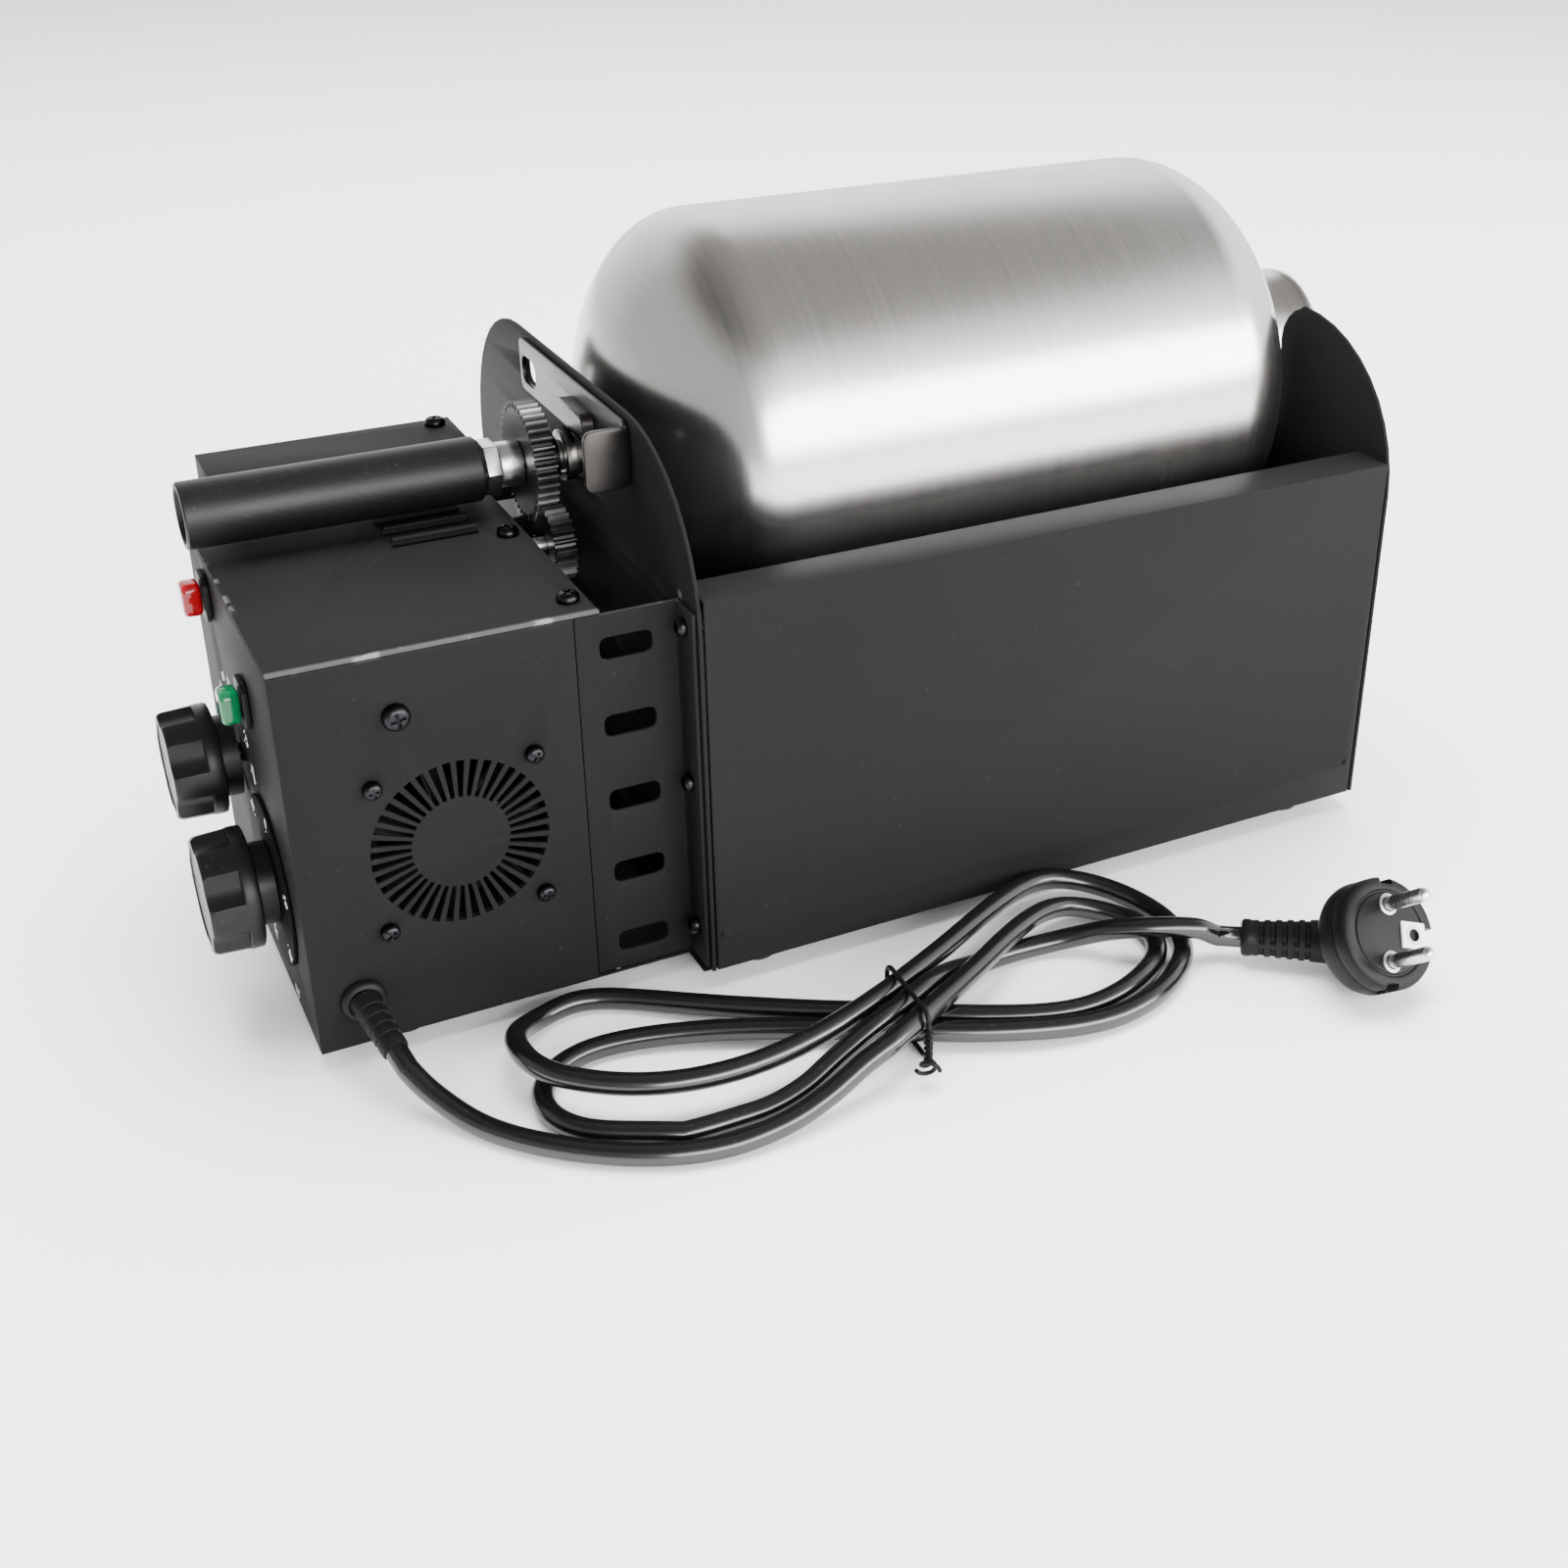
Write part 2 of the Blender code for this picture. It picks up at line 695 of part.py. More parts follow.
def build_box_shell(m):
    """One sheet bent round the box's front, control face and back, with the fan grille cut through the front."""
    path = [(box_length, 0), (0, 0), (0, box_back), (box_length, box_back)]
    outline = thick_path(path, -sheet)
    bm = bmesh.new()
    add_flat(bm, [outline], 0, box_height - gap, "XY")
    shell = finish_mesh("control_box_shell", bm, m["black_sheet"])
    tool = bmesh.new()
    for i in range(grille_slots):
        angle = 2 * math.pi * (i + 0.5) / grille_slots
        along = (math.cos(angle), math.sin(angle))
        across = (-along[1], along[0])
        corners = []
        inner, outer = (grille_inner_radius, grille_slot_inner), (grille_outer_radius, grille_slot_outer)
        for (reach, width), side in ((inner, -1), (outer, -1), (outer, 1), (inner, 1)):
            offset = side * width / 2
            corners.append((fan_x + along[0] * reach + across[0] * offset,
                            fan_z + along[1] * reach + across[1] * offset))
        add_flat(tool, [corners], -overrun, sheet + overrun, "XZ")
    for x, z in fan_corners():
        add_cylinder(tool, (x, -overrun, z), (x, sheet + overrun, z), pan_shank_radius + gap, segments=8)
    hole = gland_flange_radius - gland_flange_thickness / 2
    add_cylinder(tool, (gland_x, -overrun, gland_z), (gland_x, sheet + overrun, gland_z), hole, segments=20)
    for y, z in ((timer_y, timer_z), (thermostat_y, thermostat_z)):
        add_cylinder(tool, (-overrun, y, z), (sheet + overrun, y, z), knob_shaft_radius + gap, segments=16)
    for y, z in lamp_places():
        add_box(tool, (-overrun, y - lamp_lens_width / 2 - gap, z - lamp_lens_height / 2 - gap),
                (sheet + overrun, y + lamp_lens_width / 2 + gap, z + lamp_lens_height / 2 + gap))
    cut(shell, tool, "shell_holes")
    join_screws(shell, "front_screw", [(front_screw_x, merge_distance, front_screw_z)], (0, 1, 0),
                large_head_radius, large_head_height, fan_frame_depth / 2)


def build_top_cover(m):
    """The flat cover with its pressed louvres, past the box's seam on the drive side."""
    outline = [(0, 0), (cover_length, 0), (cover_length, box_back), (0, box_back)]
    holes = []
    for i in range(louvre_count):
        y = louvre_first_y + i * louvre_pitch
        holes.append([(louvre_left, y), (louvre_left + louvre_length, y),
                      (louvre_left + louvre_length, y + louvre_slit), (louvre_left, y + louvre_slit)])
    cover = flat_piece("top_cover", [outline] + holes, box_height, cover_top, "XY", m["black_sheet"])
    tool = bmesh.new()
    for i in range(louvre_count):
        y = louvre_first_y + i * louvre_pitch + louvre_slit
        path = [(y + louvre_wall, cover_top - louvre_wall), (y + louvre_wall, cover_top + louvre_rise / 2),
                (y - louvre_slit / 3, cover_top + louvre_rise), (y - louvre_slit, cover_top + louvre_rise)]
        add_flat(tool, [thick_path(path, louvre_wall)], louvre_left, louvre_left + louvre_length, "YZ")
    cut(cover, tool, "louvre_hoods", "UNION")
    seats = [(cover_length - cover_screw_inset, y, cover_top - merge_distance) for y in cover_screw_ys]
    join_screws(cover, "cover_screws", seats, (0, 0, -1), cover_head_radius, pan_head_height, 2 * sheet)


def build_housing(m):
    """The raised housing behind the box, open towards it."""
    bm = bmesh.new()
    add_box(bm, (housing_left, box_back + gap, 0), (housing_right, housing_back, housing_top))
    housing = finish_mesh("rear_housing", bm, m["black_sheet"])
    inside = bmesh.new()
    add_box(inside, (housing_left + sheet, box_back - overrun, sheet),
            (housing_right - sheet, housing_back - sheet, box_height - sheet))
    cut(housing, inside, "housing_inside")
    upper = bmesh.new()
    add_box(upper, (housing_left + sheet, box_back + gap + sheet, box_height - overrun),
            (housing_right - sheet, housing_back - sheet, housing_top - sheet))
    cut(housing, upper, "housing_upper")
    seat = (cover_length - cover_screw_inset, housing_back - housing_screw_back, housing_top - merge_distance)
    join_screws(housing, "housing_screw", [seat], (0, 0, -1), cover_head_radius, pan_head_height, 3 * sheet)


def build_drive_wall(m):
    """The box's inner wall on the drive side, folded under the cover, with a hole for the motor shaft."""
    top = box_height - gap
    outer = drive_wall_x + sheet
    path = [(outer, gap), (outer, top), (outer - drive_wall_fold, top)]
    wall = flat_piece("drive_wall", [thick_path(path, sheet)], sheet + gap, box_back - sheet - gap, "XZ",
                      m["zinc_sheet"])
    holes = bmesh.new()
    add_cylinder(holes, (drive_wall_x - overrun, motor_y, motor_z), (outer + overrun, motor_y, motor_z),
                 motor_shaft_radius + 3 * gap, segments=16)
    for y in cover_screw_ys:
        add_cylinder(holes, (cover_length - cover_screw_inset, y, top - sheet - overrun),
                     (cover_length - cover_screw_inset, y, top + overrun), pan_shank_radius + gap, segments=8)
    cut(wall, holes, "drive_wall_holes")


def join_screws(obj, name, seats, direction, radius, height, shank):
    """Joins a row of like screws to the piece that their shanks are threaded into or their heads press on."""
    bm = bmesh.new()
    for seat in seats:
        add_screw(bm, Vector(seat), Vector(direction).normalized(), radius, height, shank)
    cut(obj, bm, name, "UNION")


def bracket_flange_y(side):
    """The middle of a bracket's flange, in front of the box or behind it."""
    return -bracket_flange / 2 if side < 0 else box_back + bracket_flange / 2


def build_brackets(m):
    """The two slotted brackets that tie the box to the trough's end plate."""
    for name, web, way in (("front_bracket", 0, -1), ("rear_bracket", box_back, 1)):
        fold = bracket_end_x - sheet
        path = [(box_length + gap, web), (fold, web), (fold, web + way * bracket_flange)]
        outline = thick_path(path, -way * sheet)
        bm = bmesh.new()
        add_flat(bm, [outline], bracket_bottom, bracket_top, "XY")
        bracket = finish_mesh(name, bm, m["black_sheet"])
        tool = bmesh.new()
        for i in range(slot_count):
            z = slot_lowest_z + i * slot_pitch
            low = (slot_left, z - slot_height / 2)
            high = (slot_left + slot_length, z + slot_height / 2)
            outline = rounded_rectangle(low, high, slot_height * slot_corner_share, 2)
            add_flat(tool, [outline], web - sheet - overrun, web + sheet + overrun, "XZ")
        cut(bracket, tool, name + "_slots")
        seat = fold + merge_distance
        seats = [(seat, bracket_flange_y(way), z) for z in bracket_screw_heights]
        join_screws(bracket, name + "_screws", seats, (1, 0, 0), pan_head_radius, pan_head_height,
                    2 * sheet + plate_thickness)


def plate_outline():
    """The end plate's outer edge: a flat top and two large round corners."""
    top = plate_height - plate_corner
    points = [(trough_front, gap), (trough_back, gap)]
    points += arc((trough_back - plate_corner, top), plate_corner, 0, math.pi / 2, 10)
    points += arc((trough_front + plate_corner, top), plate_corner, math.pi / 2, math.pi, 10)
    return points


def heater_places():
    return [axis_y - heater_pitch / 2, axis_y + heater_pitch / 2]


def build_end_plates(m):
    """The black end plates: a window for the shaft on the left, an open notch for the neck on the right."""
    seat = bush_radius + gap
    quarter = math.pi / 2
    window = [(window_front, axis_z - seat), (axis_y, axis_z - seat)]
    window += arc((axis_y, axis_z), seat, -quarter, 0, 6)
    window += [(axis_y + seat, window_top), (window_front, window_top)]
    hole_low = (latch_hole_y - latch_hole_length / 2, latch_hole_z - latch_hole_height / 2)
    hole_high = (latch_hole_y + latch_hole_length / 2, latch_hole_z + latch_hole_height / 2)
    holes = [window, rounded_rectangle(hole_low, hole_high, latch_hole_height * latch_hole_corner_share),
             circle((latch_pivot_y, latch_pivot_z), pan_shank_radius + gap, 12)]
    holes += [circle((y, heater_z), heater_cap_radius + gap, 16) for y in heater_places()]
    for way in (-1, 1):
        holes += [circle((bracket_flange_y(way), z), pan_shank_radius + gap, 8) for z in bracket_screw_heights]
    flat_piece("left_end_plate", [plate_outline()] + holes, left_plate_x, left_plate_x + plate_thickness, "YZ",
               m["black_sheet"])

    outline = [(trough_front, gap), (trough_back, gap)]
    top = plate_height - plate_corner
    outline += arc((trough_back - plate_corner, top), plate_corner, 0, quarter, 10)
    ear = notch_ear_radius
    rise = plate_height - ear - axis_z
    reach = neck_notch_radius + ear
    ear_y = math.sqrt(reach ** 2 - rise ** 2)
    meet = math.atan2(rise, ear_y)
    outline += arc((axis_y + ear_y, plate_height - ear), ear, quarter, math.pi + meet, 6)
    outline += arc((axis_y, axis_z), neck_notch_radius, meet, -math.pi - meet, 24)[1:-1]
    outline += arc((axis_y - ear_y, plate_height - ear), ear, -meet, quarter, 6)
    outline += arc((trough_front + plate_corner, top), plate_corner, quarter, math.pi, 10)
    holes = [circle((y, heater_z), heater_cap_radius + gap, 16) for y in heater_places()]
    holes += [circle((axis_y + side * support_screw_reach, support_screw_z), pan_shank_radius + gap, 8)
              for side in (-1, 1)]
    flat_piece("right_end_plate", [outline] + holes, right_plate_x, right_plate_x + plate_thickness, "YZ",
               m["black_sheet"])


def build_panels(m):
    """The front and rear outer panels, folded in along their top and bottom."""
    low = left_plate_x + plate_thickness + side_gap
    high = right_plate_x - side_gap
    for name, face, way in (("front_panel", trough_front, 1), ("rear_panel", trough_back, -1)):
        inner = face + way * panel_flange
        path = [(inner, panel_top - panel_inner_drop), (inner, panel_top), (face, panel_top), (face, gap),
                (inner, gap)]
        outline = thick_path(path, way * sheet)
        panel = flat_piece(name, [outline], low, high, "YZ", m["dark_panel"])
        rivets = bmesh.new()
        for x in (low + panel_rivet_inset, high - panel_rivet_inset):
            start = (x, face + way * sheet / 2, panel_rivet_z)
            end = (x, face - way * panel_rivet_proud, panel_rivet_z)
            add_cylinder(rivets, start, end, panel_rivet_radius, panel_rivet_radius * rivet_crown_share,
                         segments=10)
        cut(panel, rivets, name + "_rivets", "UNION")


def build_reflector_and_heaters(m):
    """The bright trough lining under the drum and two tube heaters in ceramic end caps."""
    low = left_plate_x + plate_thickness + side_gap
    high = right_plate_x - side_gap
    front = trough_front + reflector_side_inset
    back = trough_back - reflector_side_inset
    path = [(front, reflector_top), (front, reflector_bottom + reflector_corner),
            (front + reflector_corner, reflector_bottom), (back - reflector_corner, reflector_bottom),
            (back, reflector_bottom + reflector_corner), (back, reflector_top)]
    flat_piece("heat_reflector", [thick_path(path, -reflector_sheet)], low, high, "YZ", m["zinc_sheet"])
    cap = low + heater_cap_length
    for y, name in zip(heater_places(), ("heater_front", "heater_rear")):
        bm = bmesh.new()
        add_cylinder(bm, (cap - overrun, y, heater_z), (high - heater_cap_length + overrun, y, heater_z),
                     heater_radius, segments=12)
        heater = finish_mesh(name, bm, m["heater_glass"], smooth=True)
        caps = bmesh.new()
        add_cylinder(caps, (left_plate_x - 2 * sheet, y, heater_z), (cap, y, heater_z), heater_cap_radius,
                     segments=16)
        add_cylinder(caps, (high - heater_cap_length, y, heater_z),
                     (right_plate_x + plate_thickness + 2 * sheet, y, heater_z), heater_cap_radius, segments=16)
        cut(heater, caps, name + "_caps", "UNION")


def drum_profile(inset):
    """The drum's section from its closed end to its mouth, moved in by the inset."""
    radius = drum_radius - inset
    left_depth = dome_left_depth - inset
    right_depth = dome_right_depth - inset
    neck = neck_radius - inset
    points = []
    for i in range(dome_steps + 1):
        angle = math.pi / 2 * i / dome_steps
        points.append((radius * math.sin(angle), dome_left_x - left_depth * math.cos(angle)))
    neck_turn = math.acos((neck + neck_fillet) / radius)
    for i in range(dome_steps + 1):
        angle = neck_turn * i / dome_steps
        points.append((radius * math.cos(angle), dome_right_x + right_depth * math.sin(angle)))
    points.append((neck, points[-1][1] + neck_fillet * neck_fillet_share))
    points.append((neck, neck_end_x))
    return points


def build_drum(m, centre):
    """The drum shell, open at its neck, with three stirring vanes inside."""
    outer = [(r, x - centre.x) for r, x in drum_profile(0)]
    inner = [(r, x - centre.x) for r, x in drum_profile(drum_wall)]
    outer[0] = (0, outer[0][1])
    inner[0] = (0, inner[0][1])
    profile = [*reversed(outer), *inner]
    drum = turned("drum_shell", profile, m["drum_steel"], centre, steps=drum_segments)
    bm = bmesh.new()
    seat = drum_radius - drum_wall / 2
    for i in range(vane_count):
        angle = 2 * math.pi * i / vane_count
        path = [(seat * vane_seat_share, vane_foot), (seat * vane_seat_share, 0), (seat - vane_height, 0)]
        outline = thick_path(path, vane_thickness)
        part = bmesh.new()
        add_flat(part, [outline], dome_left_x, dome_right_x, "YZ")
        turn = Matrix.Rotation(angle, 4, "X")
        bmesh.ops.transform(part, matrix=Matrix.Translation((0, centre.y, centre.z)) @ turn, verts=part.verts)
        held = bpy.data.meshes.new("vane")
        part.to_mesh(held)
        part.free()
        bm.from_mesh(held)
    cut(drum, bm, "drum_vanes", "UNION")


def build_shaft_train(m, centre):
    """Everything on the drum's shaft outside the drum: hub, bush, gear, collar, nut and handle."""
    hub_end = dome_left_x - dome_left_depth - gap
    hub_start = hub_end - hub_length
    cylinder_piece("drum_shaft", (shaft_start_x, axis_y, axis_z), (hub_end, axis_y, axis_z), shaft_radius,
                   m["bright_steel"], centre)
    bore = shaft_radius + gap

    def ring(name, start, end, radius, material, steps=32):
        profile = [(radius, end - centre.x), (radius, start - centre.x), (bore, start - centre.x),
                   (bore, end - centre.x)]
        return turned(name, profile, material, centre, steps=steps)

    ring("drum_hub", hub_start, hub_end, hub_radius, m["bright_steel"])
    step = left_plate_x - gap
    bush = [(bush_radius, bush_end_x), (bush_radius, step), (bush_flange_radius, step),
            (bush_flange_radius, bush_start_x), (bore, bush_start_x), (bore, bush_end_x)]
    turned("shaft_bush", [(r, x - centre.x) for r, x in bush], m["brass"], centre, steps=24)
    nut_end = handle_start_x + handle_length + gap + nut_length
    ring("drive_collar", nut_end + gap, gear_start_x - gap, collar_radius, m["gear_steel"], 24)
    handle = [(handle_radius, handle_length), (handle_radius, 0), (handle_bore_radius, 0),
              (handle_bore_radius, handle_bore_depth), (bore, handle_bore_depth), (bore, handle_length)]
    turned("drum_handle", [(r, handle_start_x + x - centre.x) for r, x in handle], m["handle_black"], centre,
           steps=32)
    hexagon = circle((axis_y, axis_z), nut_across_flats / math.sqrt(3), 6)
    flat_piece("shaft_nut", [hexagon, circle((axis_y, axis_z), bore, 16)], nut_end - nut_length, nut_end, "YZ",
               m["bright_steel"], centre)


def gear_outline(teeth, centre, phase):
    """A spur gear's outline with straight-flanked teeth and a little backlash."""
    pitch = gear_module * teeth / 2
    tip = pitch + gear_module
    root_radius = pitch - gear_tooth_depth_share * gear_module
    half = math.pi / (2 * teeth) - gear_backlash / (2 * pitch)
    lean = gear_flank_share * math.pi / (2 * teeth)
    points = []
    for i in range(teeth):
        middle = phase + 2 * math.pi * i / teeth
        for radius, offset in ((root_radius, -half - lean), (tip, -half + lean), (tip, half - lean),
                               (root_radius, half + lean)):
            angle = middle + offset
            points.append((centre[0] + radius * math.cos(angle), centre[1] + radius * math.sin(angle)))
    return points


def build_gears(m, centre):
    """The drum's gear and the motor's gear in mesh, a tooth of one in a space of the other."""
    gear_end = gear_start_x + gear_face
    toward = motor_gear_angle
    drum_outline = gear_outline(drum_gear_teeth, (axis_y, axis_z), toward)
    gear = flat_piece("drum_gear", [drum_outline, circle((axis_y, axis_z), shaft_radius + gap, 20)],
                      gear_start_x, gear_end, "YZ", m["gear_steel"], centre)
    hub = bmesh.new()
    bore = circle((axis_y, axis_z), shaft_radius + gap, 20)
    add_flat(hub, [circle((axis_y, axis_z), gear_hub_radius, 20), bore], gear_end - overrun,
             gear_end + gear_hub_length, "YZ")
    cut(gear, hub, "drum_gear_hub", "UNION")
    motor_centre = Vector((gear_start_x, motor_y, motor_z))
    phase = toward + math.pi + math.pi / motor_gear_teeth
    bore = circle((motor_y, motor_z), motor_shaft_radius + gap, 16)
    flat_piece("motor_gear", [gear_outline(motor_gear_teeth, (motor_y, motor_z), phase), bore],
               gear_start_x, gear_end, "YZ", m["gear_steel"], motor_centre)
    cylinder_piece("motor_shaft", (motor_end_x + gap, motor_y, motor_z), (gear_end, motor_y, motor_z),
                   motor_shaft_radius, m["bright_steel"], motor_centre, segments=16)


def build_motor(m):
    """The gear motor and the plate that hangs it on the drive wall by three posts."""
    body_z = motor_z - motor_drop
    bm = bmesh.new()
    add_cylinder(bm, (motor_end_x - motor_length, motor_y, body_z), (motor_end_x - sheet, motor_y, body_z),
                 motor_radius, segments=32)
    motor = finish_mesh("gear_motor", bm, m["motor_tin"], smooth=True)
    boss = bmesh.new()
    add_cylinder(boss, (motor_end_x - sheet - overrun, motor_y, motor_z), (motor_end_x, motor_y, motor_z),
                 motor_shaft_radius * motor_boss_share, segments=16)
    cut(motor, boss, "motor_boss", "UNION")
    posts = bmesh.new()
    for i in range(3):
        angle = -math.pi / 2 + 2 * math.pi * i / 3
        y = motor_y + motor_radius * motor_post_share * math.cos(angle)
        z = body_z + motor_radius * motor_post_share * math.sin(angle)
        add_cylinder(posts, (motor_end_x - sheet - overrun, y, z), (drive_wall_x - gap, y, z), pan_head_radius,
                     segments=12)
    cut(motor, posts, "motor_posts", "UNION")


def build_fan(m):
    """The cooling fan: its square frame, and its rotor on the frame's middle."""
    half = fan_frame_size / 2
    near = sheet + gap
    far = near + fan_frame_depth
    low, high = (fan_x - half, fan_z - half), (fan_x + half, fan_z + half)
    outline = rounded_rectangle(low, high, half * fan_corner_share)
    frame = flat_piece("fan_frame", [outline, circle((fan_x, fan_z), fan_bore_radius, 32)], near, far, "XZ",
                       m["plastic_black"])
    struts = bmesh.new()
    strut = fan_blade_thickness * fan_strut_share
    hub_back = far - strut
    add_cylinder(struts, (fan_x, hub_back, fan_z), (fan_x, far, fan_z), fan_hub_radius, segments=20)
    for angle in fan_strut_angles:
        along = Vector((math.cos(angle), 0, math.sin(angle)))
        across = Vector((-along.z, 0, along.x)) * strut
        inner = Vector((fan_x, 0, fan_z)) + along * fan_hub_radius * fan_strut_root_share
        outer = Vector((fan_x, 0, fan_z)) + along * (fan_bore_radius + strut)
        corners = [inner - across, outer - across, outer + across, inner + across]
        add_flat(struts, [[(p.x, p.z) for p in corners]], hub_back, far - gap, "XZ")
    cut(frame, struts, "fan_struts", "UNION")
    seats = [(x, -gap, z) for x, z in fan_corners()]
    join_screws(frame, "fan_screws", seats, (0, 1, 0), pan_head_radius, pan_head_height, fan_frame_depth / 2)
    centre = Vector((fan_x, near, fan_z))
    rotor_front = near + fan_blade_thickness
    rotor_back = hub_back - gap
    rotor = cylinder_piece("fan_rotor", (fan_x, rotor_front, fan_z), (fan_x, rotor_back, fan_z), fan_hub_radius,
                           m["plastic_black"], centre)
    blades = bmesh.new()
    for i in range(fan_blades):
        angle = 2 * math.pi * i / fan_blades
        part = bmesh.new()
        reach = fan_bore_radius - fan_blade_thickness
        add_box(part, (fan_hub_radius * fan_blade_root_share, -fan_blade_thickness / 2, -fan_blade_chord / 2),
                (reach, fan_blade_thickness / 2, fan_blade_chord / 2))
        pitch = Matrix.Rotation(fan_blade_pitch, 4, "X")
        spin = Matrix.Rotation(angle, 4, "Y")
        place = Matrix.Translation((fan_x, (rotor_front + rotor_back) / 2, fan_z))
        bmesh.ops.transform(part, matrix=place @ spin @ pitch, verts=part.verts)
        held = bpy.data.meshes.new("blade")
        part.to_mesh(held)
        part.free()
        blades.from_mesh(held)
    cut(rotor, blades, "fan_blade_set", "UNION")


def knob_outline(centre, radius):
    """A round knob's outline with shallow finger flutes."""
    points = []
    per_flute = knob_points_per_flute
    count = knob_flutes * per_flute
    for i in range(count):
        share = (i % per_flute) / per_flute
        dip = knob_flute_depth * max(0, math.sin(math.pi * share / knob_flute_share))
        angle = 2 * math.pi * i / count
        reach = radius - dip
        points.append((centre[0] + reach * math.cos(angle), centre[1] + reach * math.sin(angle)))
    return points


def build_controls(m):
    """The timer and the thermostat behind the control face, their knobs, the timer's dial and the lamps."""
    back = sheet + gap
    for name, y, z, radius, size, depth in (
            ("timer", timer_y, timer_z, timer_knob_radius, timer_body_size, timer_body_depth),
            ("thermostat", thermostat_y, thermostat_z, thermostat_knob_radius, thermostat_body_size,
             thermostat_body_depth)):
        half = size / 2
        box_piece(name + "_body", (back, y - half, z - half), (back + depth, y + half, z + half),
                  m["plastic_black"])
        centre = Vector((-knob_stand_off, y, z))
        knob = flat_piece(name + "_knob", [knob_outline((y, z), radius)], -knob_stand_off - knob_depth,
                          -knob_stand_off, "YZ", m["knob_black"], centre)
        stem = bmesh.new()
        start = (-knob_stand_off - overrun, y, z)
        add_cylinder(stem, start, (back - gap, y, z), knob_shaft_radius, segments=16)
        cut(knob, stem, name + "_stem", "UNION")
    middle = (timer_y, timer_z)
    disc = [circle(middle, timer_dial_radius, 40), circle(middle, knob_shaft_radius + gap, 16)]
    flat_piece("timer_dial", disc, -gap - timer_dial_thickness, -gap, "YZ", m["plastic_black"])
    for (y, z), name in zip(lamp_places(), ("heat_lamp", "power_lamp")):
        outline = chamfered(y, z, lamp_bezel_width / 2, lamp_bezel_height / 2)
        holder = flat_piece(name, [outline], -gap - lamp_bezel_thickness, -gap, "YZ", m["plastic_black"])
        width, height = lamp_lens_width / 2, lamp_lens_height / 2
        body = bmesh.new()
        add_box(body, (-gap - lamp_bezel_thickness / 2, y - width, z - height),
                (lamp_body_depth, y + width, z + height))
        cut(holder, body, name + "_body", "UNION")
        front = -2 * gap - lamp_bezel_thickness
        outline = rounded_rectangle((y - width, z - height), (y + width, z + height), lamp_chamfer)
        colour = m["lamp_red"] if name == "heat_lamp" else m["lamp_green"]
        flat_piece(name + "_lens", [outline], front - lamp_lens_depth, front, "YZ", colour)


def chamfered(y, z, width, height):
    """A rectangle's outline with cut corners."""
    c = lamp_chamfer
    return [(y + width, z - height + c), (y + width, z + height - c), (y + width - c, z + height),
            (y - width + c, z + height), (y - width, z + height - c), (y - width, z - height + c),
            (y - width + c, z - height), (y + width - c, z - height)]


def build_latch(m):
    """The steel bar that closes the window over the shaft and swings up about a screw behind its finger tab."""
    near = latch_x
    far = latch_x + latch_sheet
    centre = Vector((near, latch_pivot_y, latch_pivot_z))
    hole_low = (latch_hole_y - latch_hole_length / 2, latch_hole_z - latch_hole_height / 2)
    hole_high = (latch_hole_y + latch_hole_length / 2, latch_hole_z + latch_hole_height / 2)
    outline = rounded_rectangle((latch_front, latch_bottom), (latch_back, latch_top), latch_tab_corner)
    pivot = circle((latch_pivot_y, latch_pivot_z), pan_shank_radius + gap, 12)
    slot = rounded_rectangle(hole_low, hole_high, latch_hole_height * latch_hole_corner_share)
    bar = flat_piece("shaft_latch", [outline, slot, pivot], near, far, "YZ", m["bright_steel"], centre)
    extra = bmesh.new()
    tab = rounded_rectangle((latch_x - latch_tab_reach, latch_tab_bottom), (far, latch_top - latch_sheet),
                            latch_tab_corner)
    tab = [(x, z) if x < latch_x else (far, z) for x, z in tab]
    add_flat(extra, [tab], latch_front - latch_sheet / 2, latch_front + latch_sheet, "XZ")
    lip = [(lip_back, lip_top), (lip_front + lip_corner, lip_top)]
    lip += arc((lip_front + lip_corner, lip_top - lip_corner), lip_corner, math.pi / 2, math.pi, 4)[1:]
    lip += [(lip_front, lip_foot)]
    add_flat(extra, [thick_path(lip, latch_sheet)], near - lip_width, near + latch_sheet / 2, "YZ")
    cut(bar, extra, "latch_tab_and_lip", "UNION")
    seat = latch_x - gap
    screw_piece("latch_screw", (seat, latch_pivot_y, latch_pivot_z), (1, 0, 0), cover_head_radius,
                pan_head_height, latch_sheet + plate_thickness + 2 * sheet, m["bright_steel"])


